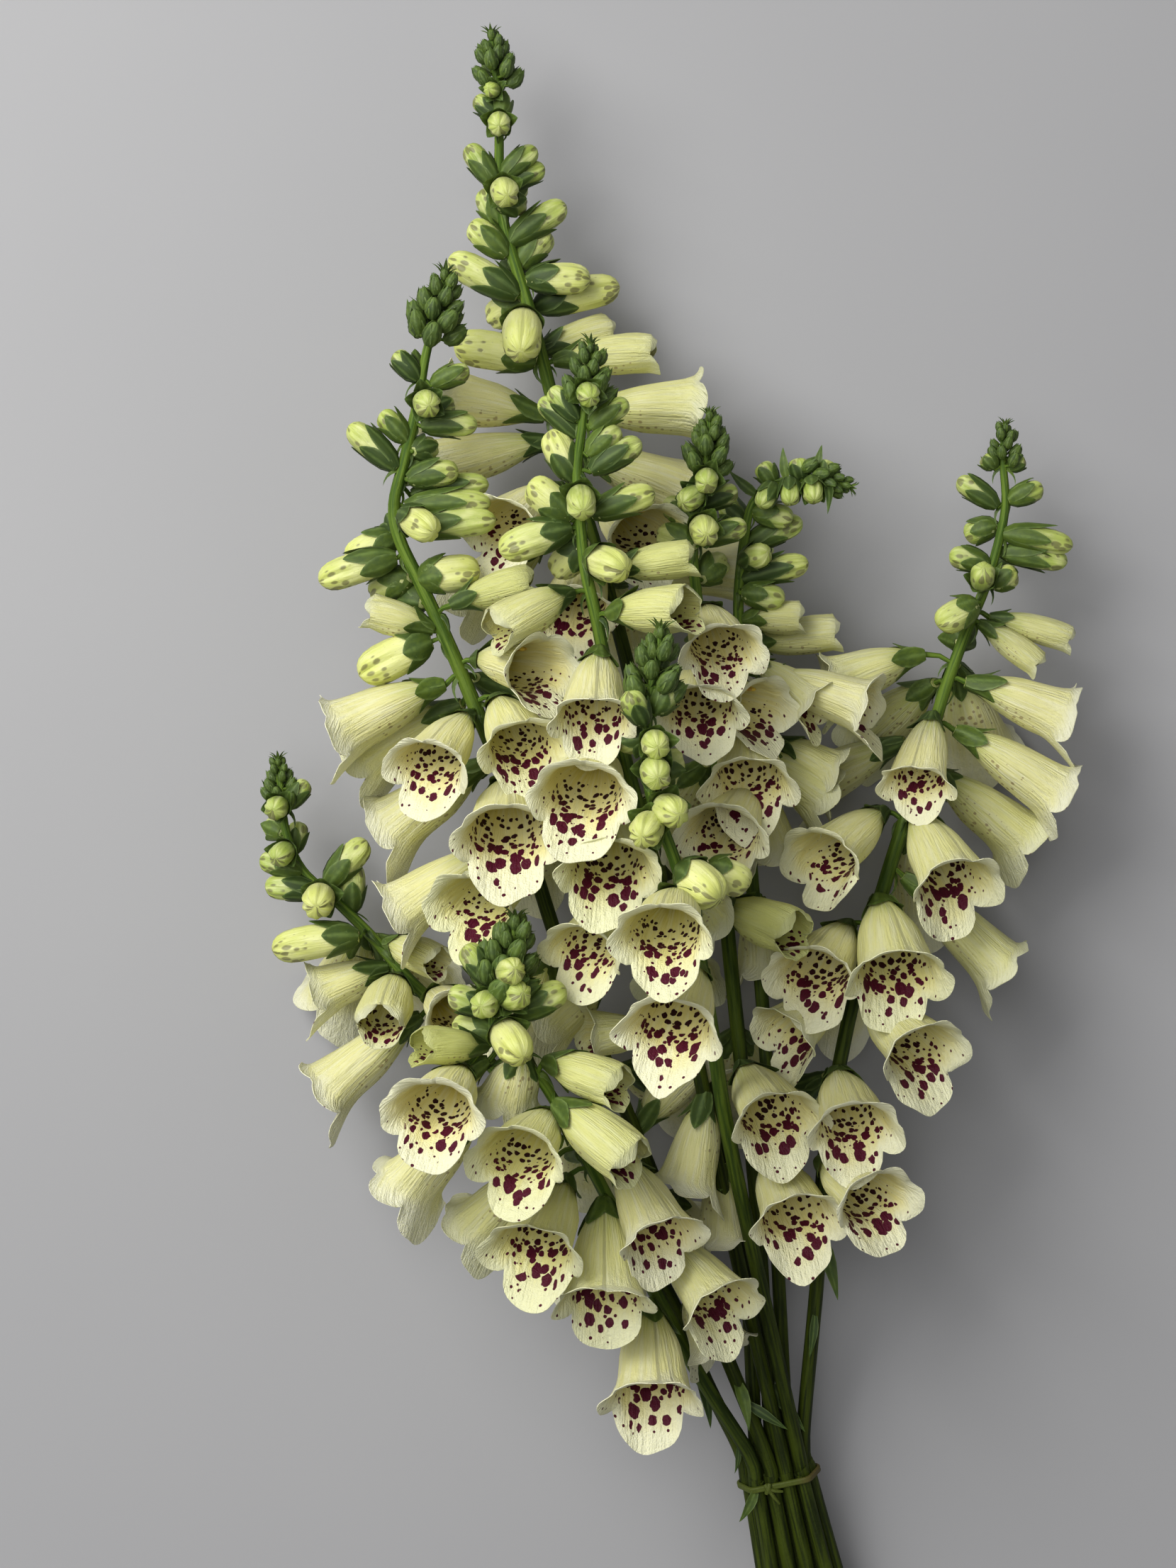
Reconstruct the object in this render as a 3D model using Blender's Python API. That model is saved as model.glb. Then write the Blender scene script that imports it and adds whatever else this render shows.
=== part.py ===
"""A tied bunch of nine cream foxglove spikes, lying on a flat surface.

Every spike is one solid: a stem with bracts, closed buds, half-open flowers and open bells fused to it.
A narrow band holds the nine stems. Tables are in millimetres, meshes in metres, +Z up, surface at Z = 0.

The bunch is described as it is seen from above. u runs to the right and v towards the tips of the spikes,
both on a plane READ_HEIGHT above the surface, seen from EYE_HEIGHT above the surface. z is the height.
"""

import math

import bmesh
import bpy
import numpy as np
from mathutils.bvhtree import BVHTree

BUNCH = "foxglove_bunch"
MM = 0.001

# The view that the tables of places refer to.
EYE_HEIGHT = 1150.0
READ_HEIGHT = 105.0

# The flowers. Lengths run from the calyx to the middle of the mouth, or are widths times BUD_LENGTH.
BELL_LENGTH = 42.0
HALF_LENGTH = 36.0
BUD_LENGTH = 1.9
LEAF_LENGTH = 3.4
LENGTHS = {"bell": BELL_LENGTH, "half": HALF_LENGTH, "bud": BUD_LENGTH, "leaf": LEAF_LENGTH}
WALL = 1.6
CALYX_REACH = 7.0
STALK_LEAST = 2.0
STALK_SHARE = 0.3
ROOT_RADIUS = 1.0

# The stems.
STEM_SIDES = 5
STEM_TIP_RADIUS = 1.0
STEM_RADIUS = 2.7
TAPER_LENGTH = 170.0
STEM_TOLERANCE = 0.9

# The tie and the cut ends.
TIE_CENTRE = (71.0, -258.0, 35.0)
CUT_CENTRE = (108.0, -428.0, 6.0)
TIE_ROW_PITCH = 6.4
TIE_ROW_HEIGHT = 5.9
TIE_STRAIGHT = 14.0
CUT_SPREAD = 1.9
BAND_WIDTH = 2.4
BAND_THICKNESS = 1.1
BAND_GAP = 0.3
BAND_SIDES = 28

# The least gap between two spikes, and the gap that the rule for bending aims at.
CLEARANCE = 0.45

FRONT = 1
LEVEL = 0
BACK = -1

# The rules for the tips, for the side that faces the surface, and for bending flowers clear.
GOLDEN_ANGLE = math.radians(137.5)
HEAD_BUDS = 1.25
HEAD_LENGTH = 2.6
TIP_BUD_HALVES = (0.17, 0.25)
TIP_BUD_SPREADS = (0.45, 0.95)
TIP_BUD_RISE = 0.6
BACK_MARGIN = 12.0
BACK_BUD_PITCH = 29.0
BACK_BUD_WIDTHS = (4.5, 10.0)
BACK_BUD_RISE = 0.35
BACK_BELL_PITCH = 54.0
BACK_BELL_SIZE = 0.95
BACK_BELL_DROOP = 0.8
BACK_TURNS = (-0.5, 0.6, 0.0)
LIFTS = (0, 4, -4, 8, -8, 13, -13)
TILTS = (0, 6, -6, 12, -12, 20, -20)
ASIDES = (0, 4, -4, 9, -9)
SHRINKS = (1.0, 0.92, 0.84, 0.76)
MOST_BENDS = 500
ASIDE_COST = 1.0
HEIGHT_COST = 0.5
SHRINK_COST = 70.0
UPRIGHT_REACH = 8.0
ORDER = {"bell": 0, "rear": 1, "half": 2, "bud": 3, "leaf": 4, "tip": 5}
OWN_ALLOWED = {"bell": 0, "rear": 0, "half": 0, "bud": 0, "leaf": 2, "tip": 9}
SOLVER = "MANIFOLD"
SMOOTH_ANGLE = math.radians(50.0)
SHORT_EDGE = 0.5
LEAST_AGREEMENT = 0.5

# Each spike: "slot" is its place in the tie (across, row), "stem" its line (u, v, z) from the tip to the
# tie, "head" the middle and the radius of its crowded tip. A bell, a half-open flower or a bud is (u, v) of
# its calyx, (u, v) of its mouth or tip, the way it faces, and its size (a share of the full bell, or a
# bud's width in millimetres).
SPIKES = {
    "spike_front": {
        "slot": (1.5, 1),
        "stem": (
            (27, 58, 150), (26, 47, 150), (23, 32, 149), (22, 15, 148), (23, -3, 146), (28, -17, 143),
            (34, -34, 138), (41, -62, 122), (46, -92, 104), (54, -140, 78),
        ),
        "head": (27, 45, 9.5),
        "bells": (
            (33, -40, 28, -56, FRONT, 0.95),
            (41, -68, 31, -90, FRONT, 1.0),
        ),
        "halves": (),
        "buds": (
            (21, 22, 14, 35, LEVEL, 7.0), (25, 26, 31, 36, LEVEL, 7.0), (24, 16, 26, 13, FRONT, 8.0),
            (24, 6, 26, 2, FRONT, 9.0), (27, -8, 34, -12, FRONT, 9.5), (24, -14, 20, -20, FRONT, 10.0),
            (34, -31, 46, -46, FRONT, 14.0), (44, -31, 60, -38, LEVEL, 11.0), (22, 18, 12, 15, BACK, 8.0),
            (25, 4, 33, 9, BACK, 9.0),
        ),
        "leaves": (),
    },
    "spike_lower_front": {
        "slot": (-1.5, 1),
        "stem": (
            (-27, -50, 128), (-28, -60, 128), (-31, -70, 127), (-35, -81, 125), (-34, -92, 122),
            (-28, -100, 119), (-19, -108, 115), (-11, -120, 109), (0, -140, 98), (11, -161, 85),
            (24, -187, 69), (41, -219, 51),
        ),
        "head": (-28, -60, 11.0),
        "bells": (
            (-14, -122, -26, -138, FRONT, 0.95),
            (-46, -106, -57, -121, FRONT, 0.95),
            (-8, -146, -20, -172, FRONT, 1.0),
            (6, -154, 6, -190, FRONT, 1.0),
            (23, -192, 24, -226, FRONT, 1.0),
            (12, -138, 27, -167, FRONT, 0.95),
            (28, -168, 49, -192, FRONT, 0.95),
            (-14, -140, -38, -162, BACK, 0.95),
            (-24, -98, -30, -117, LEVEL, 0.85),
            (-40, -120, -65, -147, BACK, 0.95),
        ),
        "halves": (
            (-38, -98, -61, -97, FRONT, 0.75),
            (-37, -103, -56, -119, LEVEL, 0.7),
            (-16, -103, 11, -112, FRONT, 0.9),
            (-12, -117, 9, -144, FRONT, 1.05),
        ),
        "buds": (
            (-36, -74, -46, -60, LEVEL, 7.5), (-31, -71, -27, -69, FRONT, 8.0),
            (-36, -81, -40, -83, FRONT, 8.0), (-31, -80, -24, -78, FRONT, 8.5),
            (-27, -86, -8, -76, LEVEL, 9.0), (-33, -90, -24, -102, FRONT, 12.0),
            (-36, -84, -52, -78, BACK, 8.0), (-34, -94, -50, -90, BACK, 9.5),
        ),
        "leaves": (),
    },
    "spike_centre": {
        "slot": (0.5, 1),
        "stem": (
            (1, 164, 118), (0, 152, 118), (-2, 134, 118), (-4, 116, 117), (-3, 98, 116), (-1, 80, 114),
            (3, 62, 112), (7, 42, 109), (13, 12, 104), (21, -18, 97), (30, -50, 88), (40, -100, 76),
            (53, -165, 58),
        ),
        "head": (1, 156, 8.0),
        "bells": (
            (4, 50, 2, 25, FRONT, 0.85),
            (5, 12, -2, -4, FRONT, 1.05),
            (8, -10, 8, -31, FRONT, 1.0),
            (16, -40, -1, -61, FRONT, 0.9),
            (26, -92, 1, -92, LEVEL, 0.8),
            (44, -114, 37, -146, LEVEL, 0.95),
            (50, -142, 51, -170, LEVEL, 0.9),
        ),
        "halves": (
            (-6, 71, -33, 58, FRONT, 0.92),
            (8, 63, 36, 65, FRONT, 0.95),
            (8, 79, 37, 84, LEVEL, 0.75),
        ),
        "buds": (
            (-1, 146, 1, 143, FRONT, 6.5), (-4, 135, -14, 147, LEVEL, 6.0),
            (-4, 129, -18, 143, BACK, 6.0), (1, 132, 15, 142, LEVEL, 6.0),
            (-5, 113, -14, 132, LEVEL, 10.0), (0, 122, 12, 132, LEVEL, 7.0),
            (1, 116, 20, 127, LEVEL, 7.5), (-6, 98, -22, 112, LEVEL, 11.0), (1, 100, 25, 108, LEVEL, 8.5),
            (-6, 95, -33, 86, LEVEL, 11.0), (0, 84, 14, 79, FRONT, 11.0), (-3, 108, -2, 101, FRONT, 9.0),
            (-1, 90, -12, 78, BACK, 11.0),
        ),
        "leaves": (),
    },
    "spike_left": {
        "slot": (-0.5, 1),
        "stem": (
            (-53, 190, 92), (-55, 178, 92), (-60, 160, 92), (-63, 143, 92), (-68, 121, 92),
            (-72, 104, 92), (-70, 91, 92), (-62, 74, 91), (-54, 57, 90), (-47, 41, 89), (-40, 24, 88),
            (-31, 2, 86), (-22, -25, 83), (-8, -68, 77), (12, -116, 69), (38, -180, 55),
        ),
        "head": (-55, 178, 10.0),
        "bells": (
            (-53, 37, -90, 21, LEVEL, 1.0),
            (-47, 30, -79, 11, BACK, 0.95),
            (-44, 26, -59, 7, FRONT, 0.9),
            (-37, 8, -70, -14, BACK, 1.0),
            (-29, -22, -68, -46, BACK, 1.0),
            (-42, 46, -19, 43, FRONT, 0.9),
            (-34, 32, -24, 14, FRONT, 0.9),
            (-29, 2, -30, -19, FRONT, 1.05),
            (-24, -28, -42, -45, FRONT, 1.0),
            (18, -130, 44, -110, LEVEL, 0.95),
            (8, -72, -14, -88, LEVEL, 0.95),
            (38, -182, 48, -206, LEVEL, 0.9),
        ),
        "halves": (
            (-51, 66, -22, 75, LEVEL, 0.75),
            (-57, 57, -80, 64, LEVEL, 0.75),
        ),
        "buds": (
            (-63, 150, -72, 160, LEVEL, 6.0), (-58, 148, -44, 154, LEVEL, 6.0),
            (-61, 142, -59, 140, FRONT, 8.0), (-67, 127, -77, 138, LEVEL, 6.5),
            (-71, 117, -89, 133, LEVEL, 8.0), (-62, 133, -41, 133, LEVEL, 7.0),
            (-61, 137, -50, 141, BACK, 7.0), (-67, 113, -48, 116, LEVEL, 8.0),
            (-66, 108, -37, 112, LEVEL, 8.0), (-69, 100, -57, 93, FRONT, 10.0),
            (-66, 94, -34, 98, LEVEL, 9.0), (-68, 103, -36, 104, BACK, 8.0),
            (-71, 84, -100, 75, LEVEL, 10.0), (-66, 77, -80, 70, BACK, 10.0),
            (-63, 76, -40, 79, LEVEL, 13.0), (-58, 53, -85, 40, LEVEL, 14.0),
            (-68, 112, -60, 124, BACK, 9.0), (-71, 92, -90, 83, BACK, 11.0),
        ),
        "leaves": (
            (52, -222, 61, -240, FRONT, 6.0),
        ),
    },
    "spike_right_centre": {
        "slot": (0, 0),
        "stem": (
            (45, 138, 84), (45, 128, 84), (43, 110, 84), (40, 95, 83), (39, 84, 82), (41, 66, 80),
            (45, 48, 78), (48, 10, 72), (51, -45, 64), (57, -105, 54), (63, -160, 46),
        ),
        "head": (45, 131, 8.0),
        "bells": (
            (43, 66, 50, 50, FRONT, 0.85),
            (42, 46, 42, 28, FRONT, 0.9),
            (48, 34, 64, 29, FRONT, 0.9),
            (57, -104, 70, -124, FRONT, 1.0),
        ),
        "halves": (
            (50, -46, 76, -55, FRONT, 1.0),
        ),
        "buds": (
            (44, 114, 44, 111, FRONT, 7.0), (42, 108, 35, 104, FRONT, 7.0),
            (42, 104, 56, 110, LEVEL, 6.5), (42, 96, 44, 92, FRONT, 9.0), (41, 90, 59, 96, LEVEL, 7.0),
            (41, 98, 28, 104, BACK, 8.0), (40, 88, 26, 92, BACK, 9.0),
        ),
        "leaves": (
            (72, -222, 77, -243, FRONT, 6.5),
        ),
    },
    "spike_right": {
        "slot": (2, 0),
        "stem": (
            (155, 134, 47), (154, 121, 47), (155, 104, 47), (152, 88, 47), (147, 72, 47), (141, 58, 47),
            (135, 42, 47), (131, 30, 47), (122, 0, 48), (112, -31, 52), (103, -62, 59), (95, -96, 56),
            (88, -137, 55), (85, -185, 46),
        ),
        "head": (155, 127, 6.5),
        "bells": (
            (125, 48, 93, 38, LEVEL, 0.95),
            (140, 38, 174, 26, LEVEL, 0.95),
            (128, 26, 122, 1, FRONT, 0.8),
            (136, 20, 172, -2, LEVEL, 0.95),
            (119, 16, 82, -2, LEVEL, 0.95),
            (127, 5, 158, -18, BACK, 0.95),
            (121, -10, 136, -36, FRONT, 1.0),
            (117, -34, 151, -66, LEVEL, 0.95),
            (110, -10, 88, -27, FRONT, 0.95),
            (108, -42, 115, -70, FRONT, 1.05),
            (97, -52, 85, -71, FRONT, 1.0),
            (92, -76, 76, -93, FRONT, 0.95),
            (103, -80, 124, -99, FRONT, 1.0),
            (92, -106, 99, -127, FRONT, 0.95),
            (86, -140, 106, -154, FRONT, 0.95),
            (136, 44, 143, 17, BACK, 1.0),
        ),
        "halves": (
            (145, 60, 164, 42, LEVEL, 0.6),
            (149, 62, 178, 54, BACK, 0.6),
        ),
        "buds": (
            (151, 117, 147, 122, LEVEL, 5.0), (156, 117, 162, 121, LEVEL, 5.0),
            (152, 103, 137, 113, LEVEL, 6.5), (156, 105, 169, 110, LEVEL, 6.5),
            (154, 93, 180, 88, LEVEL, 7.5), (153, 86, 178, 82, BACK, 7.5), (149, 81, 134, 85, LEVEL, 7.0),
            (146, 73, 147, 80, FRONT, 7.5), (150, 73, 159, 79, LEVEL, 7.5),
            (143, 66, 128, 58, LEVEL, 10.0), (152, 96, 140, 92, BACK, 7.5),
        ),
        "leaves": (
            (86, -168, 92, -192, FRONT, 7.0),
        ),
    },
    "spike_lower_left": {
        "slot": (-2, 0),
        "stem": (
            (-115, 10, 44), (-114, -2, 44), (-112, -18, 44), (-106, -32, 44), (-93, -44, 44),
            (-80, -57, 45), (-67, -72, 46), (-57, -82, 46), (-38, -102, 50), (0, -146, 51),
            (28, -186, 47), (44, -222, 42),
        ),
        "head": (-115, 5, 6.5),
        "bells": (
            (-74, -68, -97, -76, LEVEL, 0.85),
            (-62, -86, -95, -112, LEVEL, 1.0),
            (-58, -78, -47, -86, FRONT, 0.85),
            (-84, -54, -92, -76, BACK, 0.9),
        ),
        "halves": (
            (-75, -59, -56, -66, FRONT, 0.75),
            (-71, -72, -77, -88, FRONT, 0.95),
        ),
        "buds": (
            (-112, -9, -104, 1, LEVEL, 6.0), (-114, -8, -117, -10, FRONT, 7.0),
            (-110, -26, -108, -14, LEVEL, 6.0), (-111, -24, -116, -28, FRONT, 7.0),
            (-106, -33, -122, -28, LEVEL, 7.0), (-100, -40, -120, -38, LEVEL, 8.0),
            (-99, -41, -101, -46, FRONT, 11.0), (-97, -38, -82, -21, LEVEL, 9.0),
            (-88, -48, -88, -29, BACK, 9.0), (-84, -56, -116, -61, LEVEL, 12.0),
        ),
        "leaves": (
            (40, -214, 46, -242, FRONT, 6.0),
        ),
    },
    "spike_bent": {
        "slot": (1, 0),
        "stem": (
            (98, 110, 70), (88, 113, 69), (77, 113, 68), (68, 111, 66), (61, 104, 64), (58, 91, 62),
            (56, 72, 60), (56, 55, 58), (57, 20, 56), (60, -25, 54), (65, -85, 50), (69, -150, 44),
        ),
        "head": (93, 111, 7.0),
        "bells": (
            (60, 46, 84, 30, FRONT, 0.75),
            (62, 40, 101, 28, BACK, 0.9),
            (59, 22, 56, 2, FRONT, 0.95),
            (60, -2, 50, -18, FRONT, 0.95),
            (59, 12, 84, -4, BACK, 0.95),
            (64, -42, 66, -67, LEVEL, 0.9),
            (67, -138, 74, -162, FRONT, 1.0),
            (62, 4, 69, -24, LEVEL, 0.9),
            (68, 16, 88, 5, LEVEL, 0.85),
        ),
        "halves": (
            (57, 61, 78, 62, LEVEL, 0.7),
            (58, 52, 92, 57, LEVEL, 0.8),
        ),
        "buds": (
            (69, 111, 64, 119, LEVEL, 6.0), (79, 113, 78, 121, LEVEL, 6.0),
            (87, 113, 90, 120, LEVEL, 5.5), (69, 111, 64, 103, FRONT, 6.0),
            (75, 113, 75, 104, FRONT, 6.0), (83, 113, 84, 105, FRONT, 6.0), (61, 101, 76, 98, LEVEL, 7.5),
            (58, 88, 80, 98, LEVEL, 7.5), (57, 76, 82, 82, LEVEL, 8.0), (57, 71, 73, 68, FRONT, 8.0),
            (57, 82, 67, 86, FRONT, 7.5), (59, 96, 50, 104, BACK, 7.0),
        ),
        "leaves": (
            (64, 107, 52, 116, LEVEL, 5.0),
            (75, 113, 72, 125, LEVEL, 4.5),
            (85, 113, 87, 126, LEVEL, 4.5),
            (88, 113, 90, 100, FRONT, 4.5),
        ),
    },
    "spike_tall": {
        "slot": (-1, 0),
        "stem": (
            (-36, 279, 50), (-34, 262, 50), (-33, 240, 50), (-33, 222, 50), (-31, 207, 50),
            (-27, 193, 50), (-22, 177, 50), (-17, 158, 50), (-13, 142, 50), (-6, 116, 50), (5, 80, 49),
            (18, 30, 48), (33, -45, 46), (46, -115, 43), (58, -175, 40),
        ),
        "head": (-35, 270, 8.0),
        "bells": (
            (-16, 136, -50, 135, LEVEL, 0.95),
            (-13, 127, -55, 118, LEVEL, 0.95),
            (-4, 137, 38, 140, LEVEL, 1.0),
            (-3, 121, 33, 110, BACK, 1.0),
            (6, 104, 22, 92, FRONT, 1.0),
            (-10, 110, -31, 96, FRONT, 0.95),
            (8, 78, 55, 80, LEVEL, 1.0),
            (0, 84, -6, 64, FRONT, 0.95),
            (-14, 92, -42, 72, BACK, 0.95),
        ),
        "halves": (
            (-13, 157, 23, 160, LEVEL, 0.85),
            (-19, 160, 6, 168, BACK, 0.8),
        ),
        "buds": (
            (-34, 257, -37, 258, FRONT, 4.5), (-33, 246, -42, 255, LEVEL, 5.5),
            (-32, 247, -25, 256, LEVEL, 5.5), (-33, 246, -33, 244, FRONT, 7.0),
            (-34, 222, -45, 237, LEVEL, 7.0), (-32, 225, -19, 236, LEVEL, 6.5),
            (-32, 221, -16, 229, BACK, 6.5), (-32, 221, -30, 218, FRONT, 9.0),
            (-32, 206, -39, 221, BACK, 8.0), (-30, 196, -44, 208, LEVEL, 8.5),
            (-29, 201, -8, 215, LEVEL, 8.5), (-27, 191, -14, 205, BACK, 8.5),
            (-26, 181, -52, 195, LEVEL, 11.0), (-23, 187, 1, 187, LEVEL, 10.5),
            (-20, 178, 12, 186, BACK, 12.0), (-24, 173, -25, 160, FRONT, 15.0),
            (-19, 157, -50, 163, LEVEL, 14.0), (-33, 214, -24, 212, BACK, 8.0),
            (-24, 180, -36, 172, BACK, 11.0),
        ),
        "leaves": (),
    },
}


def on_view(u, v, z):
    """The point at height z that is seen at (u, v) on the reading plane."""
    scale = (EYE_HEIGHT - z) / (EYE_HEIGHT - READ_HEIGHT)
    return np.array((u * scale, v * scale, float(z)))


def unit(vector):
    length = float(np.linalg.norm(vector))
    return vector / length if length > 1e-9 else np.array((0.0, 0.0, 1.0))


def square_to(vector, axis):
    """The part of vector that is square to axis, one unit long."""
    rest = vector - axis * float(vector @ axis)
    if np.linalg.norm(rest) < 1e-3:
        rest = np.array((axis[1], axis[2], axis[0])) - axis * float(axis[0] * axis[1])
    return unit(rest)


def tie_axes():
    """The direction along the stems at the tie, towards the cut ends, and the two directions across."""
    along = unit(on_view(*CUT_CENTRE) - on_view(*TIE_CENTRE))
    across = square_to(np.array((1.0, 0.0, 0.0)), along)
    return along, across, np.cross(across, along) * -1


def slot_offset(slot, spread=1.0):
    """A stem's place in the two rows of the bundle."""
    along, across, up = tie_axes()
    place, row = slot
    return across * place * TIE_ROW_PITCH * spread + up * (row - 0.5) * TIE_ROW_HEIGHT


def smooth_line(points, step=3.0):
    """A Catmull-Rom curve through the points, sampled about every step millimetres."""
    points = [np.asarray(p, float) for p in points]
    ends = [2 * points[0] - points[1], *points, 2 * points[-1] - points[-2]]
    line = []
    for a, b, c, d in zip(ends, ends[1:], ends[2:], ends[3:]):
        count = max(1, int(np.linalg.norm(c - b) / step))
        for t in np.arange(count) / count:
            line.append(
                0.5 * (2 * b + (c - a) * t + (2 * a - 5 * b + 4 * c - d) * t**2
                       + (3 * b - 3 * c + d - a) * t**3)
            )
    return np.array([*line, points[-1]])


def few_points(line, tolerance):
    """The line with as few points as keep it within tolerance."""
    keep = {0, len(line) - 1}
    spans = [(0, len(line) - 1)]
    while spans:
        first, last = spans.pop()
        chord = line[last] - line[first]
        off = line[first:last + 1] - line[first]
        away = np.linalg.norm(off - np.outer(off @ chord, chord) / (chord @ chord), axis=1)
        if away.max() > tolerance:
            middle = first + int(away.argmax())
            keep.add(middle)
            spans += [(first, middle), (middle, last)]
    return line[sorted(keep)]


def stem_line(spike):
    """The stem's centre line from its tip to its cut end."""
    along = tie_axes()[0]
    tie = on_view(*TIE_CENTRE) + slot_offset(spike["slot"])
    cut = on_view(*CUT_CENTRE) + slot_offset(spike["slot"], CUT_SPREAD)
    upper = [on_view(*p) for p in spike["stem"]]
    return smooth_line([*upper, tie - along * TIE_STRAIGHT, tie, tie + along * TIE_STRAIGHT, cut])


def stem_radius(travelled):
    share = np.clip(travelled / TAPER_LENGTH, 0.0, 1.0) ** 0.6
    return STEM_TIP_RADIUS + (STEM_RADIUS - STEM_TIP_RADIUS) * share


def circle(centre, down, side, radius, count, turn=0.0):
    angles = np.arange(count) * 2 * math.pi / count + turn
    return centre + radius * (np.outer(np.cos(angles), down) + np.outer(np.sin(angles), side))


# A flower's rings, from the calyx to the lip and back inside: (share of the length, radius, corners).
# A bell on the side that faces the surface has fewer corners.
BELL_RINGS = ((0.10, 4.6, 5), (0.45, 12.2, 5), (0.90, 14.4, 10))
BELL_INSIDE = ((0.88, 14.4 - WALL, 5), (0.30, 6.0, 5))
REAR_RINGS = ((0.10, 4.6, 5), (0.45, 12.4, 5), (0.88, 15.0, 5))
REAR_INSIDE = ((0.86, 15.0 - WALL, 5), (0.30, 6.0, 5))
HALF_RINGS = ((0.12, 5.2, 5), (0.50, 10.0, 5))
# A bell is wider than it is high.
FLATNESS = 0.71
BUD_CORNERS = 5
SMALL_BUD = 4.6
SMALL_BUD_CORNERS = 4
TIP_CORNERS = 3
BUD_BELLY = 0.68
# The lip's ten corners, five lobes and five notches, from the long lower lobe on: how far each reaches
# past the mouth, and how wide.
LIP_REACH = (11.0, 6.5, 4.5, 0.5, 0.0, -1.0, 0.0, 0.5, 4.5, 6.5)
LIP_RADIUS = (20.0, 18.6, 18.4, 16.2, 17.0, 16.4, 17.0, 16.2, 18.4, 18.6)
HALF_REACH_SHARE = 0.6
HALF_RADIUS = (10.0, 9.0) * 5
HALF_HOLLOW_SHARE = 0.55
ARCH = 0.07
ROOT_MIX = np.array((0.37, 0.61, 0.23))
DOWN = np.array((0.0, -1.0, 0.0))


def flower_line(base, mouth, share):
    """The point at this share of a bell's arched axis, and the direction there."""
    span = mouth - base
    bend = base + 0.5 * span - DOWN * ARCH * np.linalg.norm(span)
    point = (1 - share) ** 2 * base + 2 * share * (1 - share) * bend + share**2 * mouth
    return point, unit((1 - share) * (bend - base) + share * (mouth - bend))


def root_ring(root, base, mouth, size, corners):
    """The ring sunk in the stem. It is turned and set back a little, each flower by its own amount."""
    start = unit(base - root) if np.linalg.norm(base - root) > 1.0 else unit(mouth - base)
    own = float(base @ ROOT_MIX) % 1.0
    down = square_to(DOWN, start)
    side = np.cross(start, down)
    centre = root - start * (0.2 + 0.5 * own)
    return circle(centre, down, side, ROOT_RADIUS * min(1.0, size + 0.3), corners, 0.7 * (own - 0.5))


def flower_rings(kind, root, base, mouth, size):
    """The corners of each ring of a flower or a bud, root first."""

    def ring(share, radius, count, flatness=FLATNESS):
        centre, along = flower_line(base, mouth, share)
        down = square_to(DOWN, along)
        return circle(centre, down * flatness, np.cross(along, down), radius, count)

    def lip(reach, radii):
        along = flower_line(base, mouth, 1.0)[1]
        return np.array([ring(1.0, radius, 10)[i] + along * far
                         for i, (far, radius) in enumerate(zip(reach, radii))])

    if kind in ("bell", "rear"):
        outer, inner = (BELL_RINGS, BELL_INSIDE) if kind == "bell" else (REAR_RINGS, REAR_INSIDE)
        reach = [r * size for r in LIP_REACH]
        radii = [r * size for r in LIP_RADIUS]
        rings = [ring(share, radius * size, count) for share, radius, count in outer]
        rings.append(lip(reach, radii))
        rings += [ring(share, radius * size, count) for share, radius, count in inner]
    elif kind == "half":
        rings = [ring(share, radius * size, count) for share, radius, count in HALF_RINGS]
        rings.append(lip([r * size * HALF_REACH_SHARE for r in LIP_REACH], [r * size for r in HALF_RADIUS]))
    else:
        corners = TIP_CORNERS if kind == "tip" else SMALL_BUD_CORNERS if size < SMALL_BUD else BUD_CORNERS
        rings = [ring(BUD_BELLY, size, corners, 1.0)]
    return [root_ring(root, base, mouth, size, len(rings[0])), *rings]


def bridge(first, second, near, far):
    """Triangles between two rings whose corners start at first and second. One may have twice as many."""
    faces = []
    if near == far:
        for k in range(near):
            n = (k + 1) % near
            faces += [(first + k, first + n, second + n), (first + k, second + n, second + k)]
    elif near * 2 == far:
        for k in range(near):
            n = (k + 1) % near
            a, b, c = 2 * k, 2 * k + 1, (2 * k + 2) % far
            faces += [(first + k, second + b, second + a), (first + k, first + n, second + b),
                      (first + n, second + c, second + b)]
    else:
        faces = [f[::-1] for f in bridge(second, first, far, near)]
    return faces


def solid_of_rings(rings, tip=None):
    """Points and triangles of a closed loft. A ring list ends flat, or in the point called tip."""
    counts = [len(r) for r in rings]
    starts = np.concatenate(([0], np.cumsum(counts)))[:-1]
    points = np.concatenate(rings)
    faces = [(0, k + 1, k) for k in range(1, counts[0] - 1)]
    for i in range(len(rings) - 1):
        faces += bridge(int(starts[i]), int(starts[i + 1]), counts[i], counts[i + 1])
    last, count = int(starts[-1]), counts[-1]
    if tip is None:
        faces += [(last, last + k, last + k + 1) for k in range(1, count - 1)]
    else:
        points = np.concatenate((points, [tip]))
        faces += [(last + k, last + (k + 1) % count, len(points) - 1) for k in range(count)]
    return points, faces


def flower_solid(kind, root, base, mouth, size):
    """One closed flower, bud or tip bud. What would sink into the surface is pressed flat on it."""
    if kind == "leaf":
        return blade_solid(root, mouth, size)
    rings = flower_rings(kind, root, base, mouth, size)
    inner = len(BELL_INSIDE) if kind in ("bell", "rear") else 0
    tip = None
    if kind == "half":
        tip = flower_line(base, mouth, HALF_HOLLOW_SHARE)[0]
    elif not inner:
        tip = mouth
    for i, ring in enumerate(rings):
        ring[:, 2] = np.maximum(ring[:, 2], WALL if inner and i >= len(rings) - inner else 0.0)
    return solid_of_rings(rings, tip=tip)


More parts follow.
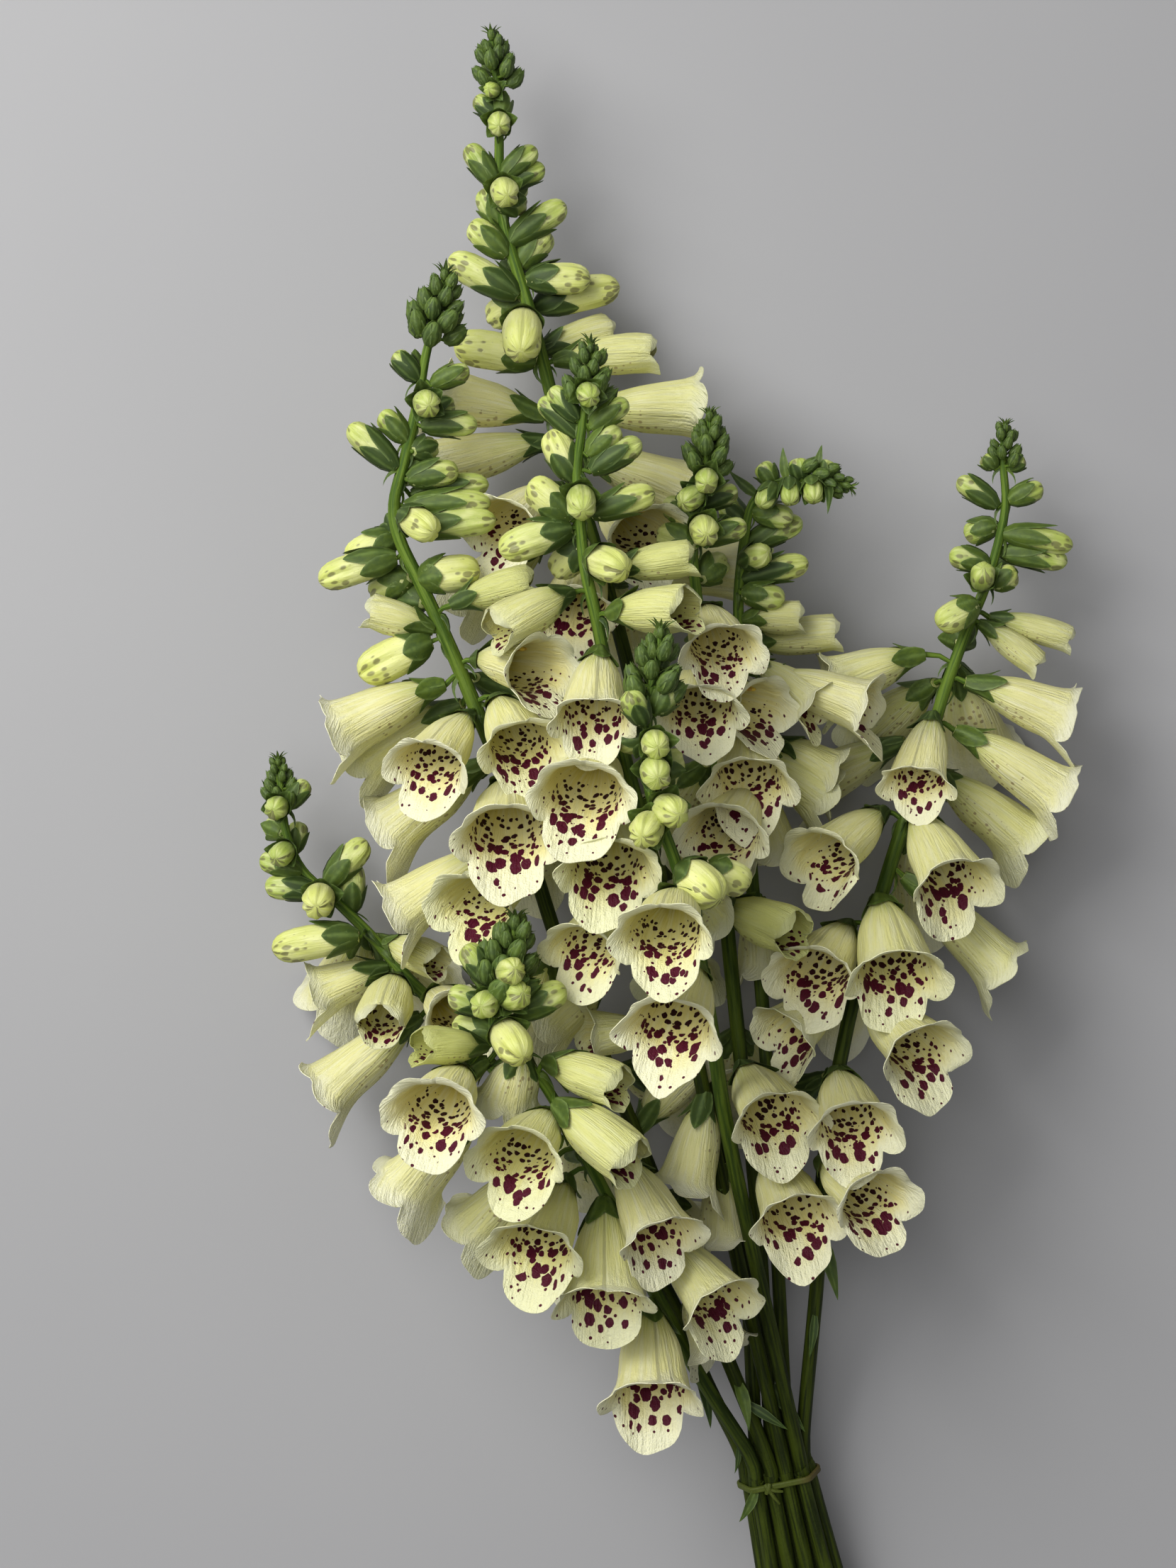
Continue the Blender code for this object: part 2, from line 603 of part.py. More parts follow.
def blade_solid(root, tip, width):
    """A bract or a small leaf: a three-cornered blade that widens and ends in a point."""
    along = unit(tip - root)
    side = square_to(np.array((along[1], -along[0], 0.2)), along)
    lift = np.cross(side, along)
    reach = float(np.linalg.norm(tip - root))
    rings = []
    for share, half, thick in ((0.0, 0.7, 1.0), (0.5, width / 2, 0.9)):
        centre = root + along * reach * share + lift * 0.12 * reach * share * (1 - share) * 4
        rings.append(np.array((centre - side * half, centre + lift * thick, centre + side * half)))
    return solid_of_rings(rings, tip=tip)


def stem_solid(line):
    """The stem as a loft of rings along a few points of its centre line."""
    few = few_points(line, STEM_TOLERANCE)
    travelled = np.concatenate(([0.0], np.cumsum(np.linalg.norm(np.diff(few, axis=0), axis=1))))
    side = square_to(np.array((1.0, 0.0, 0.0)), unit(few[1] - few[0]))
    rings = []
    for i, point in enumerate(few):
        along = unit(few[min(i + 1, len(few) - 1)] - few[max(i - 1, 0)])
        side = square_to(side, along)
        ring = circle(point, side, np.cross(along, side), stem_radius(travelled[i]), STEM_SIDES)
        ring[:, 2] = np.maximum(ring[:, 2], 0.0)
        rings.append(ring)
    return solid_of_rings(rings)


def flowers_of(spike, line):
    """The flowers of a spike as (kind, root, base, mouth, size), in millimetres, open bells first."""
    found = []
    reading = np.array([p / ((EYE_HEIGHT - p[2]) / (EYE_HEIGHT - READ_HEIGHT)) for p in line])

    def nearest(u, v):
        return int(np.hypot(reading[:, 0] - u, reading[:, 1] - v).argmin())

    for kind, table in (("bell", "bells"), ("half", "halves"), ("bud", "buds"), ("leaf", "leaves")):
        for u0, v0, u1, v1, facing, size in spike[table]:
            at = nearest(u0, v0)
            stem = line[at]
            beside = math.hypot(reading[at, 0] - u0, reading[at, 1] - v0)
            reach = CALYX_REACH if kind in ("bell", "half") else STALK_LEAST + STALK_SHARE * size
            lift = facing * math.sqrt(max(0.0, reach**2 - beside**2))
            base = on_view(u0, v0, stem[2] + lift)
            flat = math.hypot(u1 - u0, v1 - v0)
            length = LENGTHS[kind] * size
            depth = facing * math.sqrt(max(0.0, length**2 - flat**2)) if facing else 0.0
            mouth = on_view(u1, v1, base[2] + depth)
            form = "rear" if kind == "bell" and facing == BACK else kind
            found.append((form, stem, base, mouth, size / 2 if kind == "bud" else size))
    return found


def tip_buds(spike, line):
    """The small dense buds round the tip of the stem, in a spiral."""
    radius = spike["head"][2]
    count = max(5, round(radius * HEAD_BUDS))
    travelled = np.concatenate(([0.0], np.cumsum(np.linalg.norm(np.diff(line, axis=0), axis=1))))
    found = []
    for k in range(count):
        share = (k + 0.5) / count
        at = int(np.searchsorted(travelled, share * radius * HEAD_LENGTH + 1.0))
        along = unit(line[max(at - 1, 0)] - line[at + 1])
        side = square_to(np.array((0.0, 0.0, 1.0)), along)
        out = math.cos(k * GOLDEN_ANGLE) * side + math.sin(k * GOLDEN_ANGLE) * np.cross(along, side)
        bud = radius * np.interp(share, (0.0, 1.0), TIP_BUD_HALVES)
        base = line[at] + out * bud
        spread = np.interp(share, (0.0, 1.0), TIP_BUD_SPREADS)
        mouth = line[at] + (out * spread + along * TIP_BUD_RISE) * radius
        found.append(("tip", line[at], base, mouth, bud))
    return found


def back_flowers(spike, line):
    """Buds and bells on the side that faces the surface, spaced along the stem by a rule."""
    reading = line[:, :2] / ((EYE_HEIGHT - line[:, 2:]) / (EYE_HEIGHT - READ_HEIGHT))
    travelled = np.concatenate(([0.0], np.cumsum(np.linalg.norm(np.diff(line, axis=0), axis=1))))

    def along_at(row):
        return float(travelled[np.hypot(*(reading - np.array(row[:2])).T).argmin()])

    bell_zone = [along_at(row) for row in spike["bells"]]
    bud_end = min(bell_zone)
    found = []
    bud_start = spike["head"][2] * HEAD_LENGTH + BACK_MARGIN
    stops = [("bud", s) for s in np.arange(bud_start, bud_end - BACK_MARGIN / 2, BACK_BUD_PITCH)]
    stops += [("rear", s) for s in np.arange(bud_end + BACK_MARGIN / 2, max(bell_zone), BACK_BELL_PITCH)]
    for k, (kind, travel) in enumerate(stops):
        at = min(int(np.searchsorted(travelled, travel)), len(line) - 2)
        along = unit(line[at + 1] - line[at - 1])
        back = square_to(np.array((0.0, 0.0, -1.0)), along)
        turn = BACK_TURNS[k % len(BACK_TURNS)]
        out = math.cos(turn) * back + math.sin(turn) * np.cross(along, back)
        if kind == "rear":
            base = line[at] + out * CALYX_REACH
            mouth = base + unit(out + BACK_BELL_DROOP * along) * BELL_LENGTH * BACK_BELL_SIZE
            found.append((kind, line[at], base, mouth, BACK_BELL_SIZE))
            continue
        width = np.interp(travel / bud_end, (0.0, 1.0), BACK_BUD_WIDTHS)
        base = line[at] + out * (STALK_LEAST + STALK_SHARE * width)
        mouth = base + unit(out - BACK_BUD_RISE * along) * BUD_LENGTH * width
        found.append((kind, line[at], base, mouth, width / 2))
    return found


def swollen(points, faces, by):
    """The points pushed outwards, to test for a gap."""
    corners = points[faces]
    normals = np.zeros_like(points)
    facing = np.cross(corners[:, 1] - corners[:, 0], corners[:, 2] - corners[:, 0])
    for k in range(3):
        np.add.at(normals, faces[:, k], facing)
    return points + by * normals / np.maximum(np.linalg.norm(normals, axis=1), 1e-9)[:, None]


class Placed:
    """The solids placed so far, each with its node, its box and a tree of its faces."""

    def __init__(self):
        self.nodes = []
        self.trees = []
        self.stems = []
        self.boxes = np.zeros((0, 6))

    def add(self, node, points, faces, is_stem=False):
        self.nodes.append(node)
        self.trees.append(BVHTree.FromPolygons(points.tolist(), [tuple(f) for f in faces]))
        self.stems.append(is_stem)
        self.boxes = np.vstack((self.boxes, (*points.min(axis=0), *points.max(axis=0))))

    def crossings(self, node, points, faces):
        """How many solids of other spikes this one would meet, and how many flowers of its own."""
        points = swollen(points, np.array(faces), CLEARANCE)
        low, high = points.min(axis=0), points.max(axis=0)
        near = (self.boxes[:, :3] <= high).all(axis=1) & (self.boxes[:, 3:] >= low).all(axis=1)
        tree = None
        own = 0
        for k in np.flatnonzero(near):
            if self.nodes[k] == node and self.stems[k]:
                continue
            tree = tree or BVHTree.FromPolygons(points.tolist(), faces)
            if tree.overlap(self.trees[k]):
                if self.nodes[k] != node:
                    return 1, own
                own += 1
        return 0, own


def bends():
    """Ways to bend a flower clear, the least first: (calyx height, mouth height, sideways, size)."""
    found = []
    for lift in LIFTS:
        for tilt in TILTS:
            for aside in ASIDES:
                for size in SHRINKS:
                    cost = HEIGHT_COST * (abs(lift) + abs(tilt)) + ASIDE_COST * abs(aside)
                    cost += SHRINK_COST * (1.0 - size)
                    found.append((cost, lift, tilt, aside, size))
    return [row[1:] for row in sorted(found)[:MOST_BENDS]]


def bent(flower, bend):
    kind, root, base, mouth, size = flower
    lift, tilt, aside, shrink = bend
    flat = np.array((mouth[0] - base[0], mouth[1] - base[1], 0.0))
    side = np.array((1.0, 0.0, 0.0))
    if np.linalg.norm(flat) > UPRIGHT_REACH:
        side = unit(np.array((-flat[1], flat[0], 0.0)))
    base = base + np.array((0.0, 0.0, lift))
    mouth = mouth + np.array((0.0, 0.0, lift + tilt)) + side * aside
    reach = max(1.0, np.linalg.norm(mouth - base))
    wanted = min(reach, np.linalg.norm(flower[3] - flower[2])) * shrink
    return kind, root, base, base + (mouth - base) * wanted / reach, size * shrink


def layout():
    """{spike: (stem line, its flowers)}, with each flower bent clear of the other spikes or left out."""
    placed = Placed()
    lines = {}
    waiting = []
    for name, spike in SPIKES.items():
        lines[name] = stem_line(spike)
        placed.add(name, *stem_solid(lines[name]), is_stem=True)
        shown = flowers_of(spike, lines[name])
        waiting += [(ORDER[f[0]], -f[3][2], name, f, False) for f in shown]
        waiting += [(ORDER["tip"], 0.0, name, f, False) for f in tip_buds(spike, lines[name])]
        waiting += [(len(ORDER), 0.0, name, f, True) for f in back_flowers(spike, lines[name])]
    found = {name: (line, []) for name, line in lines.items()}
    ways = bends()
    for _, _, name, flower, spare in sorted(waiting, key=lambda row: row[:2]):
        best = None
        for way in ways:
            tried = bent(flower, way)
            points, faces = flower_solid(*tried)
            others, own = placed.crossings(name, points, faces)
            if others:
                continue
            if best is None or own < best[0]:
                best = (own, tried, points, faces)
            if own <= OWN_ALLOWED[flower[0]]:
                break
        if best is None or (spare and best[0]):
            continue
        placed.add(name, best[2], best[3])
        found[name][1].append(best[1])
    return found


def material(name, colour, roughness):
    """A plain Principled material."""
    made = bpy.data.materials.new(name)
    made.use_nodes = True
    shader = made.node_tree.nodes["Principled BSDF"]
    shader.inputs["Base Color"].default_value = (*colour, 1.0)
    shader.inputs["Roughness"].default_value = roughness
    shader.inputs["Metallic"].default_value = 0.0
    return made


def solid_object(name, points, faces, look, collection):
    """A closed mesh object in metres, with its faces turned outwards."""
    shape = bmesh.new()
    corners = [shape.verts.new(p * MM) for p in points]
    for face in faces:
        shape.faces.new([corners[i] for i in face])
    if shape.calc_volume(signed=True) < 0.0:
        bmesh.ops.reverse_faces(shape, faces=shape.faces)
    mesh = bpy.data.meshes.new(name)
    shape.to_mesh(mesh)
    shape.free()
    mesh.materials.append(look)
    made = bpy.data.objects.new(name, mesh)
    collection.objects.link(made)
    return made


def may_join(kept, gone):
    """Whether moving gone onto kept leaves the surface closed and turns no face over."""
    near = [{e.other_vert(v) for e in v.link_edges} for v in (kept, gone)]
    if len(near[0] & near[1]) != 2:
        return False
    for face in gone.link_faces:
        if kept in face.verts:
            continue
        a, b, c = (kept.co if v is gone else v.co for v in face.verts)
        turned = (b - a).cross(c - a)
        if turned.length < 1e-14 or turned.normalized().dot(face.normal) < LEAST_AGREEMENT:
            return False
    return True


def close_short_edges(shape):
    """Joins the ends of the short edges that a union leaves."""
    shape.normal_update()
    for edge in sorted(shape.edges, key=lambda e: e.calc_length()):
        if not edge.is_valid or edge.calc_length() > SHORT_EDGE * MM:
            continue
        first, second = edge.verts
        for kept, gone in ((first, second), (second, first)):
            if may_join(kept, gone):
                bmesh.ops.weld_verts(shape, targetmap={gone: kept})
                for face in kept.link_faces:
                    face.normal_update()
                break


def keep_main_body(mesh):
    """Removes the shells of hollows that the union sealed, and any loose scrap."""
    shape = bmesh.new()
    shape.from_mesh(mesh)
    bmesh.ops.triangulate(shape, faces=shape.faces)
    waiting = set(shape.verts)
    bodies = []
    while waiting:
        edge = [waiting.pop()]
        body = list(edge)
        while edge:
            near = {e.other_vert(v) for v in edge for e in v.link_edges} & waiting
            waiting -= near
            edge = list(near)
            body += edge
        bodies.append(body)
    largest = max(bodies, key=len)
    spare = [v for body in bodies if body is not largest for v in body]
    bmesh.ops.delete(shape, geom=spare, context="VERTS")
    close_short_edges(shape)
    shape.to_mesh(mesh)
    shape.free()


def fused(stem, repeats, looks):
    """The stem with the collection's solids joined to it by one Boolean union, which is applied."""
    for look in looks:
        if look.name not in stem.data.materials:
            stem.data.materials.append(look)
    union = stem.modifiers.new("Fuse", "BOOLEAN")
    union.operation = "UNION"
    union.solver = SOLVER
    union.operand_type = "COLLECTION"
    union.collection = repeats
    bpy.context.view_layer.update()
    graph = bpy.context.evaluated_depsgraph_get()
    mesh = bpy.data.meshes.new_from_object(stem.evaluated_get(graph))
    stem.modifiers.clear()
    keep_main_body(mesh)
    stem.data = mesh
    mesh.name = stem.name
    for piece in list(repeats.objects):
        bpy.data.objects.remove(piece)
    bpy.data.collections.remove(repeats)
    mesh.shade_smooth()
    mesh.set_sharp_from_angle(angle=SMOOTH_ANGLE)
    return stem


def spike_object(name, line, flowers, looks, bunch):
    """One spike: its stem, flowers, bracts and leaves as a single closed solid."""
    green, cream, young = looks
    look_of = {"bell": cream, "rear": cream, "half": cream, "bud": young, "leaf": green, "tip": green}
    stem = solid_object(name, *stem_solid(line), green, bunch)
    repeats = bpy.data.collections.new(name + "_repeats")
    bpy.context.scene.collection.children.link(repeats)
    for k, flower in enumerate(flowers):
        solid_object(f"{name}_{flower[0]}_{k}", *flower_solid(*flower), look_of[flower[0]], repeats)
    return fused(stem, repeats, looks)


def band_outline(offset):
    """A convex outline round the stems at the tie, this far from them."""
    places = [np.array((s["slot"][0] * TIE_ROW_PITCH, (s["slot"][1] - 0.5) * TIE_ROW_HEIGHT))
              for s in SPIKES.values()]
    outline = []
    for k in range(BAND_SIDES):
        angle = 2 * math.pi * k / BAND_SIDES
        way = np.array((math.cos(angle), math.sin(angle)))
        furthest = max(places, key=lambda place: float(place @ way))
        outline.append(furthest + way * (STEM_RADIUS + offset))
    return outline


def band_object(look, bunch):
    """The tie: a closed band round the bundle, with a small gap to the stems."""
    along, across, up = tie_axes()
    centre = on_view(*TIE_CENTRE)
    rings = []
    for offset, shift in ((BAND_GAP, -0.5), (BAND_GAP + BAND_THICKNESS, -0.5),
                          (BAND_GAP + BAND_THICKNESS, 0.5), (BAND_GAP, 0.5)):
        rings.append([centre + across * x + up * y + along * BAND_WIDTH * shift
                      for x, y in band_outline(offset)])
    points = np.array([p for ring in rings for p in ring])
    faces = []
    for i in range(4):
        faces += bridge(i * BAND_SIDES, (i + 1) % 4 * BAND_SIDES, BAND_SIDES, BAND_SIDES)
    return solid_object("tie_band", points, faces, look, bunch)


def stand_at_origin(objects):
    """Moves the meshes so that the middle of the bunch's box is over the origin."""
    corners = np.array([v.co for o in objects for v in o.data.vertices])
    middle = (corners.min(axis=0) + corners.max(axis=0)) / 2
    middle[2] = 0.0
    for o in objects:
        for vertex in o.data.vertices:
            vertex.co = [a - b for a, b in zip(vertex.co, middle)]


def main():
    for piece in list(bpy.data.objects):
        bpy.data.objects.remove(piece)
    bunch = bpy.data.collections.new(BUNCH)
    bpy.context.scene.collection.children.link(bunch)
    looks = (
        material("stem_green", (0.16, 0.27, 0.06), 0.6),
        material("petal_cream", (0.85, 0.77, 0.55), 0.6),
        material("bud_green", (0.55, 0.60, 0.28), 0.6),
    )
    tie_look = material("tie_olive", (0.21, 0.20, 0.08), 0.5)
    made = []
    for name, (line, flowers) in layout().items():
        made.append(spike_object(name, line, flowers, looks, bunch))
    made.append(band_object(tie_look, bunch))
    stand_at_origin(made)


main()
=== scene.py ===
"""The looks of a tied bunch of nine cream foxglove spikes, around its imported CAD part.

The flowers are laid out by the same tables and the same rule as the CAD solids, in millimetres, and are
then modelled finely: bells with lobed and ruffled lips, stamens, pleated buds, sepals, bracts and ribbed
stems.
"""

import math

import bpy
import numpy as np
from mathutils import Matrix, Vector
from mathutils.bvhtree import BVHTree

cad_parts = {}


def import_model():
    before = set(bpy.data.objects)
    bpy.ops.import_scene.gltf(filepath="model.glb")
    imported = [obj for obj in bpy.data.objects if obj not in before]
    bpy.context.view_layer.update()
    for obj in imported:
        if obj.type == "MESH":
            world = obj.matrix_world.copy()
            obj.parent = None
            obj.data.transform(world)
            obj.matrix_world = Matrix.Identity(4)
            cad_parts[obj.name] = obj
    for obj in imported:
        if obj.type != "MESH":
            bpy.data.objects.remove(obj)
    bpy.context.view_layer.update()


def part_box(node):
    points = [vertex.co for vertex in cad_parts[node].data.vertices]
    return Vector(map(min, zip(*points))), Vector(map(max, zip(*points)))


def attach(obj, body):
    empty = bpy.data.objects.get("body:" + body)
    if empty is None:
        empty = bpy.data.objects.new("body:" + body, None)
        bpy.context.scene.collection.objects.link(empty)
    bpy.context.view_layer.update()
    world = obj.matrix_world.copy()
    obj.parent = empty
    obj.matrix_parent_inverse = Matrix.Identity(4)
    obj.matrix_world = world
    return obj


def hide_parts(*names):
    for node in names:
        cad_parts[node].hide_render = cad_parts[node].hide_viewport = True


MM = 0.001

# The view that the tables of places refer to.
EYE_HEIGHT = 1150.0
READ_HEIGHT = 105.0

# The flowers. Lengths run from the calyx to the middle of the mouth, or are widths times BUD_LENGTH.
BELL_LENGTH = 42.0
HALF_LENGTH = 36.0
BUD_LENGTH = 1.9
LEAF_LENGTH = 3.4
LENGTHS = {"bell": BELL_LENGTH, "half": HALF_LENGTH, "bud": BUD_LENGTH, "leaf": LEAF_LENGTH}
WALL = 1.6
CALYX_REACH = 7.0
STALK_LEAST = 2.0
STALK_SHARE = 0.3
ROOT_RADIUS = 1.0

# The stems.
STEM_SIDES = 5
STEM_TIP_RADIUS = 1.0
STEM_RADIUS = 2.7
TAPER_LENGTH = 170.0
STEM_TOLERANCE = 0.9

# The tie and the cut ends.
TIE_CENTRE = (71.0, -258.0, 35.0)
CUT_CENTRE = (108.0, -428.0, 6.0)
TIE_ROW_PITCH = 6.4
TIE_ROW_HEIGHT = 5.9
TIE_STRAIGHT = 14.0
CUT_SPREAD = 1.9
BAND_WIDTH = 2.4
BAND_THICKNESS = 1.1
BAND_GAP = 0.3
BAND_SIDES = 28

# The least gap between two spikes, which the rule for bending flowers keeps.
CLEARANCE = 0.45

FRONT = 1
LEVEL = 0
BACK = -1

# The rules for the tips, for the side that faces the surface, and for bending flowers clear.
GOLDEN_ANGLE = math.radians(137.5)
HEAD_BUDS = 1.25
HEAD_LENGTH = 2.6
TIP_BUD_HALVES = (0.17, 0.25)
TIP_BUD_SPREADS = (0.45, 0.95)
TIP_BUD_RISE = 0.6
BACK_MARGIN = 12.0
BACK_BUD_PITCH = 29.0
BACK_BUD_WIDTHS = (4.5, 10.0)
BACK_BUD_RISE = 0.35
BACK_BELL_PITCH = 54.0
BACK_BELL_SIZE = 0.95
BACK_BELL_DROOP = 0.8
BACK_TURNS = (-0.5, 0.6, 0.0)
LIFTS = (0, 4, -4, 8, -8, 13, -13)
TILTS = (0, 6, -6, 12, -12, 20, -20)
ASIDES = (0, 4, -4, 9, -9)
SHRINKS = (1.0, 0.92, 0.84, 0.76)
MOST_BENDS = 500
ASIDE_COST = 1.0
HEIGHT_COST = 0.5
SHRINK_COST = 70.0
UPRIGHT_REACH = 8.0
ORDER = {"bell": 0, "rear": 1, "half": 2, "bud": 3, "leaf": 4, "tip": 5}
OWN_ALLOWED = {"bell": 0, "rear": 0, "half": 0, "bud": 0, "leaf": 2, "tip": 9}

